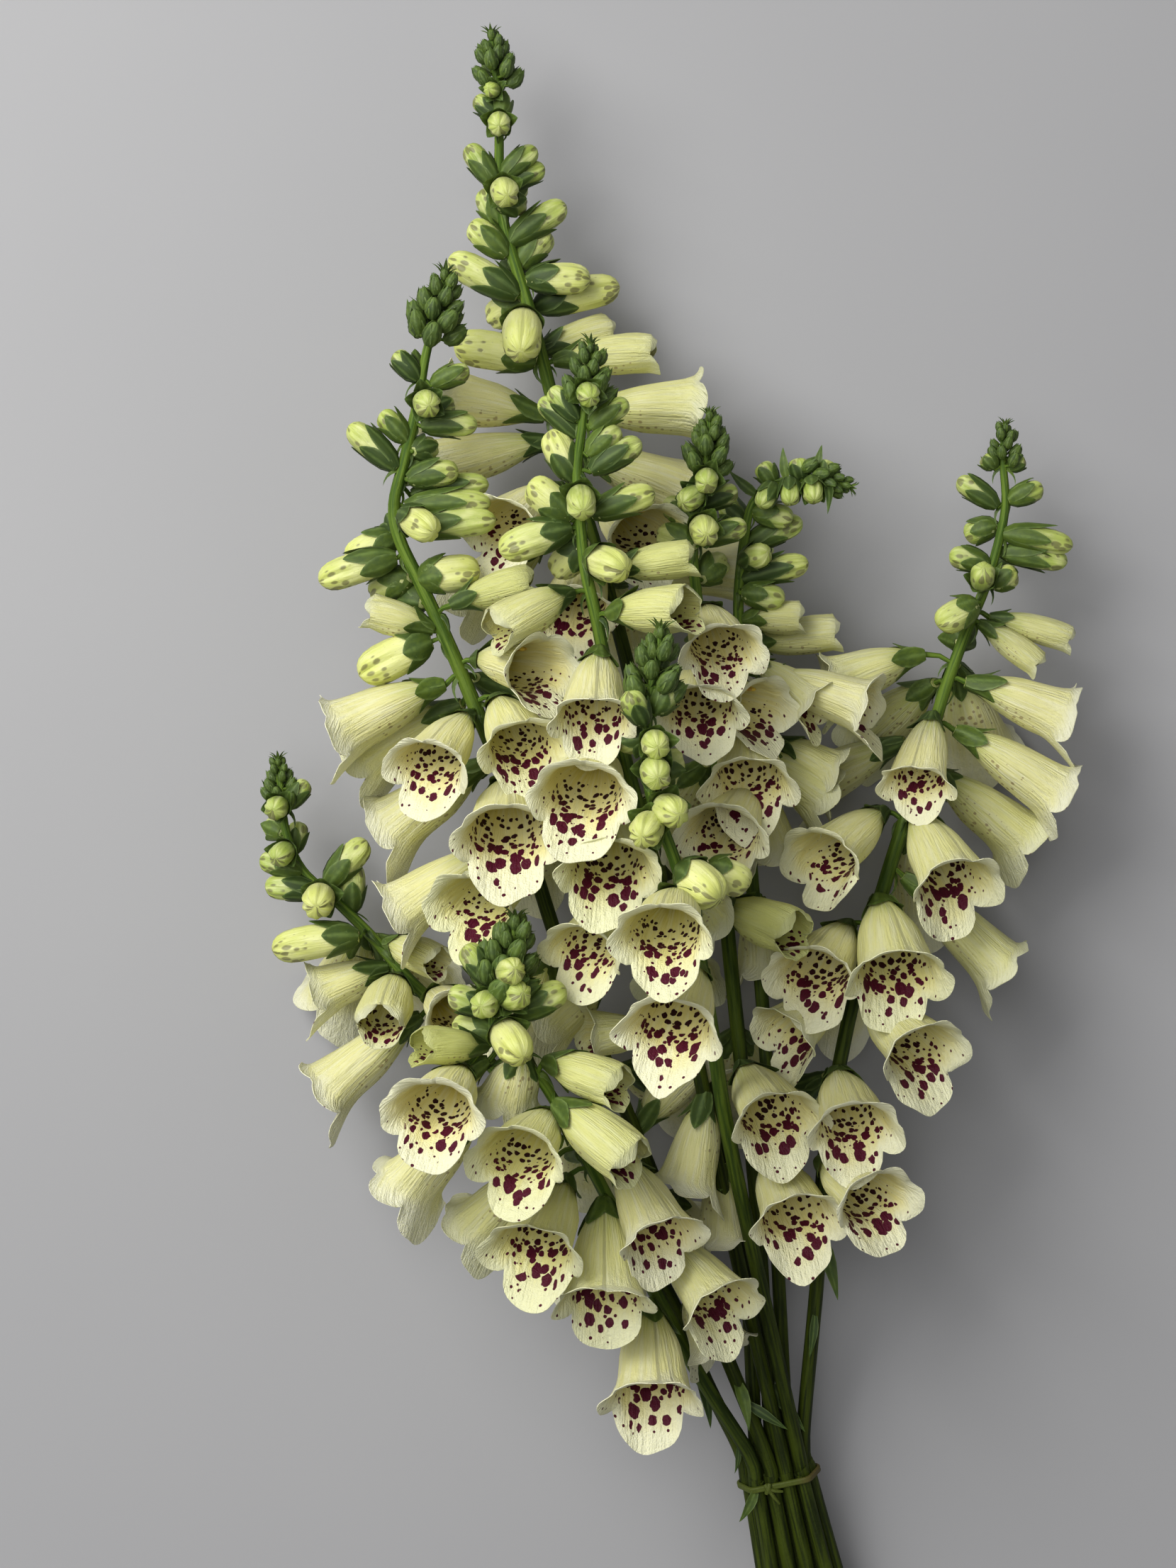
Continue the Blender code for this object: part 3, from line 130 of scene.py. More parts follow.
# Each spike: "slot" is its place in the tie (across, row), "stem" its line (u, v, z) from the tip to the
# tie, "head" the middle and the radius of its crowded tip. A bell, a half-open flower or a bud is (u, v) of
# its calyx, (u, v) of its mouth or tip, the way it faces, and its size (a share of the full bell, or a
# bud's width in millimetres).
SPIKES = {
    "spike_front": {
        "slot": (1.5, 1),
        "stem": (
            (27, 58, 150), (26, 47, 150), (23, 32, 149), (22, 15, 148), (23, -3, 146), (28, -17, 143),
            (34, -34, 138), (41, -62, 122), (46, -92, 104), (54, -140, 78),
        ),
        "head": (27, 45, 9.5),
        "bells": (
            (33, -40, 28, -56, FRONT, 0.95),
            (41, -68, 31, -90, FRONT, 1.0),
        ),
        "halves": (),
        "buds": (
            (21, 22, 14, 35, LEVEL, 7.0), (25, 26, 31, 36, LEVEL, 7.0), (24, 16, 26, 13, FRONT, 8.0),
            (24, 6, 26, 2, FRONT, 9.0), (27, -8, 34, -12, FRONT, 9.5), (24, -14, 20, -20, FRONT, 10.0),
            (34, -31, 46, -46, FRONT, 14.0), (44, -31, 60, -38, LEVEL, 11.0), (22, 18, 12, 15, BACK, 8.0),
            (25, 4, 33, 9, BACK, 9.0),
        ),
        "leaves": (),
    },
    "spike_lower_front": {
        "slot": (-1.5, 1),
        "stem": (
            (-27, -50, 128), (-28, -60, 128), (-31, -70, 127), (-35, -81, 125), (-34, -92, 122),
            (-28, -100, 119), (-19, -108, 115), (-11, -120, 109), (0, -140, 98), (11, -161, 85),
            (24, -187, 69), (41, -219, 51),
        ),
        "head": (-28, -60, 11.0),
        "bells": (
            (-14, -122, -26, -138, FRONT, 0.95),
            (-46, -106, -57, -121, FRONT, 0.95),
            (-8, -146, -20, -172, FRONT, 1.0),
            (6, -154, 6, -190, FRONT, 1.0),
            (23, -192, 24, -226, FRONT, 1.0),
            (12, -138, 27, -167, FRONT, 0.95),
            (28, -168, 49, -192, FRONT, 0.95),
            (-14, -140, -38, -162, BACK, 0.95),
            (-24, -98, -30, -117, LEVEL, 0.85),
            (-40, -120, -65, -147, BACK, 0.95),
        ),
        "halves": (
            (-38, -98, -61, -97, FRONT, 0.75),
            (-37, -103, -56, -119, LEVEL, 0.7),
            (-16, -103, 11, -112, FRONT, 0.9),
            (-12, -117, 9, -144, FRONT, 1.05),
        ),
        "buds": (
            (-36, -74, -46, -60, LEVEL, 7.5), (-31, -71, -27, -69, FRONT, 8.0),
            (-36, -81, -40, -83, FRONT, 8.0), (-31, -80, -24, -78, FRONT, 8.5),
            (-27, -86, -8, -76, LEVEL, 9.0), (-33, -90, -24, -102, FRONT, 12.0),
            (-36, -84, -52, -78, BACK, 8.0), (-34, -94, -50, -90, BACK, 9.5),
        ),
        "leaves": (),
    },
    "spike_centre": {
        "slot": (0.5, 1),
        "stem": (
            (1, 164, 118), (0, 152, 118), (-2, 134, 118), (-4, 116, 117), (-3, 98, 116), (-1, 80, 114),
            (3, 62, 112), (7, 42, 109), (13, 12, 104), (21, -18, 97), (30, -50, 88), (40, -100, 76),
            (53, -165, 58),
        ),
        "head": (1, 156, 8.0),
        "bells": (
            (4, 50, 2, 25, FRONT, 0.85),
            (5, 12, -2, -4, FRONT, 1.05),
            (8, -10, 8, -31, FRONT, 1.0),
            (16, -40, -1, -61, FRONT, 0.9),
            (26, -92, 1, -92, LEVEL, 0.8),
            (44, -114, 37, -146, LEVEL, 0.95),
            (50, -142, 51, -170, LEVEL, 0.9),
        ),
        "halves": (
            (-6, 71, -33, 58, FRONT, 0.92),
            (8, 63, 36, 65, FRONT, 0.95),
            (8, 79, 37, 84, LEVEL, 0.75),
        ),
        "buds": (
            (-1, 146, 1, 143, FRONT, 6.5), (-4, 135, -14, 147, LEVEL, 6.0),
            (-4, 129, -18, 143, BACK, 6.0), (1, 132, 15, 142, LEVEL, 6.0),
            (-5, 113, -14, 132, LEVEL, 10.0), (0, 122, 12, 132, LEVEL, 7.0),
            (1, 116, 20, 127, LEVEL, 7.5), (-6, 98, -22, 112, LEVEL, 11.0), (1, 100, 25, 108, LEVEL, 8.5),
            (-6, 95, -33, 86, LEVEL, 11.0), (0, 84, 14, 79, FRONT, 11.0), (-3, 108, -2, 101, FRONT, 9.0),
            (-1, 90, -12, 78, BACK, 11.0),
        ),
        "leaves": (),
    },
    "spike_left": {
        "slot": (-0.5, 1),
        "stem": (
            (-53, 190, 92), (-55, 178, 92), (-60, 160, 92), (-63, 143, 92), (-68, 121, 92),
            (-72, 104, 92), (-70, 91, 92), (-62, 74, 91), (-54, 57, 90), (-47, 41, 89), (-40, 24, 88),
            (-31, 2, 86), (-22, -25, 83), (-8, -68, 77), (12, -116, 69), (38, -180, 55),
        ),
        "head": (-55, 178, 10.0),
        "bells": (
            (-53, 37, -90, 21, LEVEL, 1.0),
            (-47, 30, -79, 11, BACK, 0.95),
            (-44, 26, -59, 7, FRONT, 0.9),
            (-37, 8, -70, -14, BACK, 1.0),
            (-29, -22, -68, -46, BACK, 1.0),
            (-42, 46, -19, 43, FRONT, 0.9),
            (-34, 32, -24, 14, FRONT, 0.9),
            (-29, 2, -30, -19, FRONT, 1.05),
            (-24, -28, -42, -45, FRONT, 1.0),
            (18, -130, 44, -110, LEVEL, 0.95),
            (8, -72, -14, -88, LEVEL, 0.95),
            (38, -182, 48, -206, LEVEL, 0.9),
        ),
        "halves": (
            (-51, 66, -22, 75, LEVEL, 0.75),
            (-57, 57, -80, 64, LEVEL, 0.75),
        ),
        "buds": (
            (-63, 150, -72, 160, LEVEL, 6.0), (-58, 148, -44, 154, LEVEL, 6.0),
            (-61, 142, -59, 140, FRONT, 8.0), (-67, 127, -77, 138, LEVEL, 6.5),
            (-71, 117, -89, 133, LEVEL, 8.0), (-62, 133, -41, 133, LEVEL, 7.0),
            (-61, 137, -50, 141, BACK, 7.0), (-67, 113, -48, 116, LEVEL, 8.0),
            (-66, 108, -37, 112, LEVEL, 8.0), (-69, 100, -57, 93, FRONT, 10.0),
            (-66, 94, -34, 98, LEVEL, 9.0), (-68, 103, -36, 104, BACK, 8.0),
            (-71, 84, -100, 75, LEVEL, 10.0), (-66, 77, -80, 70, BACK, 10.0),
            (-63, 76, -40, 79, LEVEL, 13.0), (-58, 53, -85, 40, LEVEL, 14.0),
            (-68, 112, -60, 124, BACK, 9.0), (-71, 92, -90, 83, BACK, 11.0),
        ),
        "leaves": (
            (52, -222, 61, -240, FRONT, 6.0),
        ),
    },
    "spike_right_centre": {
        "slot": (0, 0),
        "stem": (
            (45, 138, 84), (45, 128, 84), (43, 110, 84), (40, 95, 83), (39, 84, 82), (41, 66, 80),
            (45, 48, 78), (48, 10, 72), (51, -45, 64), (57, -105, 54), (63, -160, 46),
        ),
        "head": (45, 131, 8.0),
        "bells": (
            (43, 66, 50, 50, FRONT, 0.85),
            (42, 46, 42, 28, FRONT, 0.9),
            (48, 34, 64, 29, FRONT, 0.9),
            (57, -104, 70, -124, FRONT, 1.0),
        ),
        "halves": (
            (50, -46, 76, -55, FRONT, 1.0),
        ),
        "buds": (
            (44, 114, 44, 111, FRONT, 7.0), (42, 108, 35, 104, FRONT, 7.0),
            (42, 104, 56, 110, LEVEL, 6.5), (42, 96, 44, 92, FRONT, 9.0), (41, 90, 59, 96, LEVEL, 7.0),
            (41, 98, 28, 104, BACK, 8.0), (40, 88, 26, 92, BACK, 9.0),
        ),
        "leaves": (
            (72, -222, 77, -243, FRONT, 6.5),
        ),
    },
    "spike_right": {
        "slot": (2, 0),
        "stem": (
            (155, 134, 47), (154, 121, 47), (155, 104, 47), (152, 88, 47), (147, 72, 47), (141, 58, 47),
            (135, 42, 47), (131, 30, 47), (122, 0, 48), (112, -31, 52), (103, -62, 59), (95, -96, 56),
            (88, -137, 55), (85, -185, 46),
        ),
        "head": (155, 127, 6.5),
        "bells": (
            (125, 48, 93, 38, LEVEL, 0.95),
            (140, 38, 174, 26, LEVEL, 0.95),
            (128, 26, 122, 1, FRONT, 0.8),
            (136, 20, 172, -2, LEVEL, 0.95),
            (119, 16, 82, -2, LEVEL, 0.95),
            (127, 5, 158, -18, BACK, 0.95),
            (121, -10, 136, -36, FRONT, 1.0),
            (117, -34, 151, -66, LEVEL, 0.95),
            (110, -10, 88, -27, FRONT, 0.95),
            (108, -42, 115, -70, FRONT, 1.05),
            (97, -52, 85, -71, FRONT, 1.0),
            (92, -76, 76, -93, FRONT, 0.95),
            (103, -80, 124, -99, FRONT, 1.0),
            (92, -106, 99, -127, FRONT, 0.95),
            (86, -140, 106, -154, FRONT, 0.95),
            (136, 44, 143, 17, BACK, 1.0),
        ),
        "halves": (
            (145, 60, 164, 42, LEVEL, 0.6),
            (149, 62, 178, 54, BACK, 0.6),
        ),
        "buds": (
            (151, 117, 147, 122, LEVEL, 5.0), (156, 117, 162, 121, LEVEL, 5.0),
            (152, 103, 137, 113, LEVEL, 6.5), (156, 105, 169, 110, LEVEL, 6.5),
            (154, 93, 180, 88, LEVEL, 7.5), (153, 86, 178, 82, BACK, 7.5), (149, 81, 134, 85, LEVEL, 7.0),
            (146, 73, 147, 80, FRONT, 7.5), (150, 73, 159, 79, LEVEL, 7.5),
            (143, 66, 128, 58, LEVEL, 10.0), (152, 96, 140, 92, BACK, 7.5),
        ),
        "leaves": (
            (86, -168, 92, -192, FRONT, 7.0),
        ),
    },
    "spike_lower_left": {
        "slot": (-2, 0),
        "stem": (
            (-115, 10, 44), (-114, -2, 44), (-112, -18, 44), (-106, -32, 44), (-93, -44, 44),
            (-80, -57, 45), (-67, -72, 46), (-57, -82, 46), (-38, -102, 50), (0, -146, 51),
            (28, -186, 47), (44, -222, 42),
        ),
        "head": (-115, 5, 6.5),
        "bells": (
            (-74, -68, -97, -76, LEVEL, 0.85),
            (-62, -86, -95, -112, LEVEL, 1.0),
            (-58, -78, -47, -86, FRONT, 0.85),
            (-84, -54, -92, -76, BACK, 0.9),
        ),
        "halves": (
            (-75, -59, -56, -66, FRONT, 0.75),
            (-71, -72, -77, -88, FRONT, 0.95),
        ),
        "buds": (
            (-112, -9, -104, 1, LEVEL, 6.0), (-114, -8, -117, -10, FRONT, 7.0),
            (-110, -26, -108, -14, LEVEL, 6.0), (-111, -24, -116, -28, FRONT, 7.0),
            (-106, -33, -122, -28, LEVEL, 7.0), (-100, -40, -120, -38, LEVEL, 8.0),
            (-99, -41, -101, -46, FRONT, 11.0), (-97, -38, -82, -21, LEVEL, 9.0),
            (-88, -48, -88, -29, BACK, 9.0), (-84, -56, -116, -61, LEVEL, 12.0),
        ),
        "leaves": (
            (40, -214, 46, -242, FRONT, 6.0),
        ),
    },
    "spike_bent": {
        "slot": (1, 0),
        "stem": (
            (98, 110, 70), (88, 113, 69), (77, 113, 68), (68, 111, 66), (61, 104, 64), (58, 91, 62),
            (56, 72, 60), (56, 55, 58), (57, 20, 56), (60, -25, 54), (65, -85, 50), (69, -150, 44),
        ),
        "head": (93, 111, 7.0),
        "bells": (
            (60, 46, 84, 30, FRONT, 0.75),
            (62, 40, 101, 28, BACK, 0.9),
            (59, 22, 56, 2, FRONT, 0.95),
            (60, -2, 50, -18, FRONT, 0.95),
            (59, 12, 84, -4, BACK, 0.95),
            (64, -42, 66, -67, LEVEL, 0.9),
            (67, -138, 74, -162, FRONT, 1.0),
            (62, 4, 69, -24, LEVEL, 0.9),
            (68, 16, 88, 5, LEVEL, 0.85),
        ),
        "halves": (
            (57, 61, 78, 62, LEVEL, 0.7),
            (58, 52, 92, 57, LEVEL, 0.8),
        ),
        "buds": (
            (69, 111, 64, 119, LEVEL, 6.0), (79, 113, 78, 121, LEVEL, 6.0),
            (87, 113, 90, 120, LEVEL, 5.5), (69, 111, 64, 103, FRONT, 6.0),
            (75, 113, 75, 104, FRONT, 6.0), (83, 113, 84, 105, FRONT, 6.0), (61, 101, 76, 98, LEVEL, 7.5),
            (58, 88, 80, 98, LEVEL, 7.5), (57, 76, 82, 82, LEVEL, 8.0), (57, 71, 73, 68, FRONT, 8.0),
            (57, 82, 67, 86, FRONT, 7.5), (59, 96, 50, 104, BACK, 7.0),
        ),
        "leaves": (
            (64, 107, 52, 116, LEVEL, 5.0),
            (75, 113, 72, 125, LEVEL, 4.5),
            (85, 113, 87, 126, LEVEL, 4.5),
            (88, 113, 90, 100, FRONT, 4.5),
        ),
    },
    "spike_tall": {
        "slot": (-1, 0),
        "stem": (
            (-36, 279, 50), (-34, 262, 50), (-33, 240, 50), (-33, 222, 50), (-31, 207, 50),
            (-27, 193, 50), (-22, 177, 50), (-17, 158, 50), (-13, 142, 50), (-6, 116, 50), (5, 80, 49),
            (18, 30, 48), (33, -45, 46), (46, -115, 43), (58, -175, 40),
        ),
        "head": (-35, 270, 8.0),
        "bells": (
            (-16, 136, -50, 135, LEVEL, 0.95),
            (-13, 127, -55, 118, LEVEL, 0.95),
            (-4, 137, 38, 140, LEVEL, 1.0),
            (-3, 121, 33, 110, BACK, 1.0),
            (6, 104, 22, 92, FRONT, 1.0),
            (-10, 110, -31, 96, FRONT, 0.95),
            (8, 78, 55, 80, LEVEL, 1.0),
            (0, 84, -6, 64, FRONT, 0.95),
            (-14, 92, -42, 72, BACK, 0.95),
        ),
        "halves": (
            (-13, 157, 23, 160, LEVEL, 0.85),
            (-19, 160, 6, 168, BACK, 0.8),
        ),
        "buds": (
            (-34, 257, -37, 258, FRONT, 4.5), (-33, 246, -42, 255, LEVEL, 5.5),
            (-32, 247, -25, 256, LEVEL, 5.5), (-33, 246, -33, 244, FRONT, 7.0),
            (-34, 222, -45, 237, LEVEL, 7.0), (-32, 225, -19, 236, LEVEL, 6.5),
            (-32, 221, -16, 229, BACK, 6.5), (-32, 221, -30, 218, FRONT, 9.0),
            (-32, 206, -39, 221, BACK, 8.0), (-30, 196, -44, 208, LEVEL, 8.5),
            (-29, 201, -8, 215, LEVEL, 8.5), (-27, 191, -14, 205, BACK, 8.5),
            (-26, 181, -52, 195, LEVEL, 11.0), (-23, 187, 1, 187, LEVEL, 10.5),
            (-20, 178, 12, 186, BACK, 12.0), (-24, 173, -25, 160, FRONT, 15.0),
            (-19, 157, -50, 163, LEVEL, 14.0), (-33, 214, -24, 212, BACK, 8.0),
            (-24, 180, -36, 172, BACK, 11.0),
        ),
        "leaves": (),
    },
}


def on_view(u, v, z):
    """The point at height z that is seen at (u, v) on the reading plane."""
    scale = (EYE_HEIGHT - z) / (EYE_HEIGHT - READ_HEIGHT)
    return np.array((u * scale, v * scale, float(z)))


def unit(vector):
    length = float(np.linalg.norm(vector))
    return vector / length if length > 1e-9 else np.array((0.0, 0.0, 1.0))


def square_to(vector, axis):
    """The part of vector that is square to axis, one unit long."""
    rest = vector - axis * float(vector @ axis)
    if np.linalg.norm(rest) < 1e-3:
        rest = np.array((axis[1], axis[2], axis[0])) - axis * float(axis[0] * axis[1])
    return unit(rest)


def tie_axes():
    """The direction along the stems at the tie, towards the cut ends, and the two directions across."""
    along = unit(on_view(*CUT_CENTRE) - on_view(*TIE_CENTRE))
    across = square_to(np.array((1.0, 0.0, 0.0)), along)
    return along, across, np.cross(across, along) * -1


def slot_offset(slot, spread=1.0):
    """A stem's place in the two rows of the bundle."""
    along, across, up = tie_axes()
    place, row = slot
    return across * place * TIE_ROW_PITCH * spread + up * (row - 0.5) * TIE_ROW_HEIGHT


def smooth_line(points, step=3.0):
    """A Catmull-Rom curve through the points, sampled about every step millimetres."""
    points = [np.asarray(p, float) for p in points]
    ends = [2 * points[0] - points[1], *points, 2 * points[-1] - points[-2]]
    line = []
    for a, b, c, d in zip(ends, ends[1:], ends[2:], ends[3:]):
        count = max(1, int(np.linalg.norm(c - b) / step))
        for t in np.arange(count) / count:
            line.append(
                0.5 * (2 * b + (c - a) * t + (2 * a - 5 * b + 4 * c - d) * t**2
                       + (3 * b - 3 * c + d - a) * t**3)
            )
    return np.array([*line, points[-1]])


def few_points(line, tolerance):
    """The line with as few points as keep it within tolerance."""
    keep = {0, len(line) - 1}
    spans = [(0, len(line) - 1)]
    while spans:
        first, last = spans.pop()
        chord = line[last] - line[first]
        off = line[first:last + 1] - line[first]
        away = np.linalg.norm(off - np.outer(off @ chord, chord) / (chord @ chord), axis=1)
        if away.max() > tolerance:
            middle = first + int(away.argmax())
            keep.add(middle)
            spans += [(first, middle), (middle, last)]
    return line[sorted(keep)]


def stem_line(spike):
    """The stem's centre line from its tip to its cut end."""
    along = tie_axes()[0]
    tie = on_view(*TIE_CENTRE) + slot_offset(spike["slot"])
    cut = on_view(*CUT_CENTRE) + slot_offset(spike["slot"], CUT_SPREAD)
    upper = [on_view(*p) for p in spike["stem"]]
    return smooth_line([*upper, tie - along * TIE_STRAIGHT, tie, tie + along * TIE_STRAIGHT, cut])


def stem_radius(travelled):
    share = np.clip(travelled / TAPER_LENGTH, 0.0, 1.0) ** 0.6
    return STEM_TIP_RADIUS + (STEM_RADIUS - STEM_TIP_RADIUS) * share


def circle(centre, down, side, radius, count, turn=0.0):
    angles = np.arange(count) * 2 * math.pi / count + turn
    return centre + radius * (np.outer(np.cos(angles), down) + np.outer(np.sin(angles), side))


# A flower's rings, from the calyx to the lip and back inside: (share of the length, radius, corners).
# A bell on the side that faces the surface has fewer corners.
BELL_RINGS = ((0.10, 4.6, 5), (0.45, 12.2, 5), (0.90, 14.4, 10))
BELL_INSIDE = ((0.88, 14.4 - WALL, 5), (0.30, 6.0, 5))
REAR_RINGS = ((0.10, 4.6, 5), (0.45, 12.4, 5), (0.88, 15.0, 5))
REAR_INSIDE = ((0.86, 15.0 - WALL, 5), (0.30, 6.0, 5))
HALF_RINGS = ((0.12, 5.2, 5), (0.50, 10.0, 5))
# A bell is wider than it is high.
FLATNESS = 0.71
BUD_CORNERS = 5
SMALL_BUD = 4.6
SMALL_BUD_CORNERS = 4
TIP_CORNERS = 3
BUD_BELLY = 0.68
# The lip's ten corners, five lobes and five notches, from the long lower lobe on: how far each reaches
# past the mouth, and how wide.
LIP_REACH = (11.0, 6.5, 4.5, 0.5, 0.0, -1.0, 0.0, 0.5, 4.5, 6.5)
LIP_RADIUS = (20.0, 18.6, 18.4, 16.2, 17.0, 16.4, 17.0, 16.2, 18.4, 18.6)
HALF_REACH_SHARE = 0.6
HALF_RADIUS = (10.0, 9.0) * 5
HALF_HOLLOW_SHARE = 0.55
ARCH = 0.07
ROOT_MIX = np.array((0.37, 0.61, 0.23))
DOWN = np.array((0.0, -1.0, 0.0))


def flower_line(base, mouth, share):
    """The point at this share of a bell's arched axis, and the direction there."""
    span = mouth - base
    bend = base + 0.5 * span - DOWN * ARCH * np.linalg.norm(span)
    point = (1 - share) ** 2 * base + 2 * share * (1 - share) * bend + share**2 * mouth
    return point, unit((1 - share) * (bend - base) + share * (mouth - bend))


def root_ring(root, base, mouth, size, corners):
    """The ring sunk in the stem. It is turned and set back a little, each flower by its own amount."""
    start = unit(base - root) if np.linalg.norm(base - root) > 1.0 else unit(mouth - base)
    own = float(base @ ROOT_MIX) % 1.0
    down = square_to(DOWN, start)
    side = np.cross(start, down)
    centre = root - start * (0.2 + 0.5 * own)
    return circle(centre, down, side, ROOT_RADIUS * min(1.0, size + 0.3), corners, 0.7 * (own - 0.5))


def flower_rings(kind, root, base, mouth, size):
    """The corners of each ring of a flower or a bud, root first."""

    def ring(share, radius, count, flatness=FLATNESS):
        centre, along = flower_line(base, mouth, share)
        down = square_to(DOWN, along)
        return circle(centre, down * flatness, np.cross(along, down), radius, count)

    def lip(reach, radii):
        along = flower_line(base, mouth, 1.0)[1]
        return np.array([ring(1.0, radius, 10)[i] + along * far
                         for i, (far, radius) in enumerate(zip(reach, radii))])

    if kind in ("bell", "rear"):
        outer, inner = (BELL_RINGS, BELL_INSIDE) if kind == "bell" else (REAR_RINGS, REAR_INSIDE)
        reach = [r * size for r in LIP_REACH]
        radii = [r * size for r in LIP_RADIUS]
        rings = [ring(share, radius * size, count) for share, radius, count in outer]
        rings.append(lip(reach, radii))
        rings += [ring(share, radius * size, count) for share, radius, count in inner]
    elif kind == "half":
        rings = [ring(share, radius * size, count) for share, radius, count in HALF_RINGS]
        rings.append(lip([r * size * HALF_REACH_SHARE for r in LIP_REACH], [r * size for r in HALF_RADIUS]))
    else:
        corners = TIP_CORNERS if kind == "tip" else SMALL_BUD_CORNERS if size < SMALL_BUD else BUD_CORNERS
        rings = [ring(BUD_BELLY, size, corners, 1.0)]
    return [root_ring(root, base, mouth, size, len(rings[0])), *rings]


def bridge(first, second, near, far):
    """Triangles between two rings whose corners start at first and second. One may have twice as many."""
    faces = []
    if near == far:
        for k in range(near):
            n = (k + 1) % near
            faces += [(first + k, first + n, second + n), (first + k, second + n, second + k)]
    elif near * 2 == far:
        for k in range(near):
            n = (k + 1) % near
            a, b, c = 2 * k, 2 * k + 1, (2 * k + 2) % far
            faces += [(first + k, second + b, second + a), (first + k, first + n, second + b),
                      (first + n, second + c, second + b)]
    else:
        faces = [f[::-1] for f in bridge(second, first, far, near)]
    return faces


def solid_of_rings(rings, tip=None):
    """Points and triangles of a closed loft. A ring list ends flat, or in the point called tip."""
    counts = [len(r) for r in rings]
    starts = np.concatenate(([0], np.cumsum(counts)))[:-1]
    points = np.concatenate(rings)
    faces = [(0, k + 1, k) for k in range(1, counts[0] - 1)]
    for i in range(len(rings) - 1):
        faces += bridge(int(starts[i]), int(starts[i + 1]), counts[i], counts[i + 1])
    last, count = int(starts[-1]), counts[-1]
    if tip is None:
        faces += [(last, last + k, last + k + 1) for k in range(1, count - 1)]
    else:
        points = np.concatenate((points, [tip]))
        faces += [(last + k, last + (k + 1) % count, len(points) - 1) for k in range(count)]
    return points, faces


def flower_solid(kind, root, base, mouth, size):
    """One closed flower, bud or tip bud. What would sink into the surface is pressed flat on it."""
    if kind == "leaf":
        return blade_solid(root, mouth, size)
    rings = flower_rings(kind, root, base, mouth, size)
    inner = len(BELL_INSIDE) if kind in ("bell", "rear") else 0
    tip = None
    if kind == "half":
        tip = flower_line(base, mouth, HALF_HOLLOW_SHARE)[0]
    elif not inner:
        tip = mouth
    for i, ring in enumerate(rings):
        ring[:, 2] = np.maximum(ring[:, 2], WALL if inner and i >= len(rings) - inner else 0.0)
    return solid_of_rings(rings, tip=tip)


def blade_solid(root, tip, width):
    """A bract or a small leaf: a three-cornered blade that widens and ends in a point."""
    along = unit(tip - root)
    side = square_to(np.array((along[1], -along[0], 0.2)), along)
    lift = np.cross(side, along)
    reach = float(np.linalg.norm(tip - root))
    rings = []
    for share, half, thick in ((0.0, 0.7, 1.0), (0.5, width / 2, 0.9)):
        centre = root + along * reach * share + lift * 0.12 * reach * share * (1 - share) * 4
        rings.append(np.array((centre - side * half, centre + lift * thick, centre + side * half)))
    return solid_of_rings(rings, tip=tip)


def stem_solid(line):
    """The stem as a loft of rings along a few points of its centre line."""
    few = few_points(line, STEM_TOLERANCE)
    travelled = np.concatenate(([0.0], np.cumsum(np.linalg.norm(np.diff(few, axis=0), axis=1))))
    side = square_to(np.array((1.0, 0.0, 0.0)), unit(few[1] - few[0]))
    rings = []
    for i, point in enumerate(few):
        along = unit(few[min(i + 1, len(few) - 1)] - few[max(i - 1, 0)])
        side = square_to(side, along)
        ring = circle(point, side, np.cross(along, side), stem_radius(travelled[i]), STEM_SIDES)
        ring[:, 2] = np.maximum(ring[:, 2], 0.0)
        rings.append(ring)
    return solid_of_rings(rings)


def flowers_of(spike, line):
    """The flowers of a spike as (kind, root, base, mouth, size), in millimetres, open bells first."""
    found = []
    reading = np.array([p / ((EYE_HEIGHT - p[2]) / (EYE_HEIGHT - READ_HEIGHT)) for p in line])

    def nearest(u, v):
        return int(np.hypot(reading[:, 0] - u, reading[:, 1] - v).argmin())

    for kind, table in (("bell", "bells"), ("half", "halves"), ("bud", "buds"), ("leaf", "leaves")):
        for u0, v0, u1, v1, facing, size in spike[table]:
            at = nearest(u0, v0)
            stem = line[at]
            beside = math.hypot(reading[at, 0] - u0, reading[at, 1] - v0)
            reach = CALYX_REACH if kind in ("bell", "half") else STALK_LEAST + STALK_SHARE * size
            lift = facing * math.sqrt(max(0.0, reach**2 - beside**2))
            base = on_view(u0, v0, stem[2] + lift)
            flat = math.hypot(u1 - u0, v1 - v0)
            length = LENGTHS[kind] * size
            depth = facing * math.sqrt(max(0.0, length**2 - flat**2)) if facing else 0.0
            mouth = on_view(u1, v1, base[2] + depth)
            form = "rear" if kind == "bell" and facing == BACK else kind
            found.append((form, stem, base, mouth, size / 2 if kind == "bud" else size))
    return found


def tip_buds(spike, line):
    """The small dense buds round the tip of the stem, in a spiral."""
    radius = spike["head"][2]
    count = max(5, round(radius * HEAD_BUDS))
    travelled = np.concatenate(([0.0], np.cumsum(np.linalg.norm(np.diff(line, axis=0), axis=1))))
    found = []
    for k in range(count):
        share = (k + 0.5) / count
        at = int(np.searchsorted(travelled, share * radius * HEAD_LENGTH + 1.0))
        along = unit(line[max(at - 1, 0)] - line[at + 1])
        side = square_to(np.array((0.0, 0.0, 1.0)), along)
        out = math.cos(k * GOLDEN_ANGLE) * side + math.sin(k * GOLDEN_ANGLE) * np.cross(along, side)
        bud = radius * np.interp(share, (0.0, 1.0), TIP_BUD_HALVES)
        base = line[at] + out * bud
        spread = np.interp(share, (0.0, 1.0), TIP_BUD_SPREADS)
        mouth = line[at] + (out * spread + along * TIP_BUD_RISE) * radius
        found.append(("tip", line[at], base, mouth, bud))
    return found


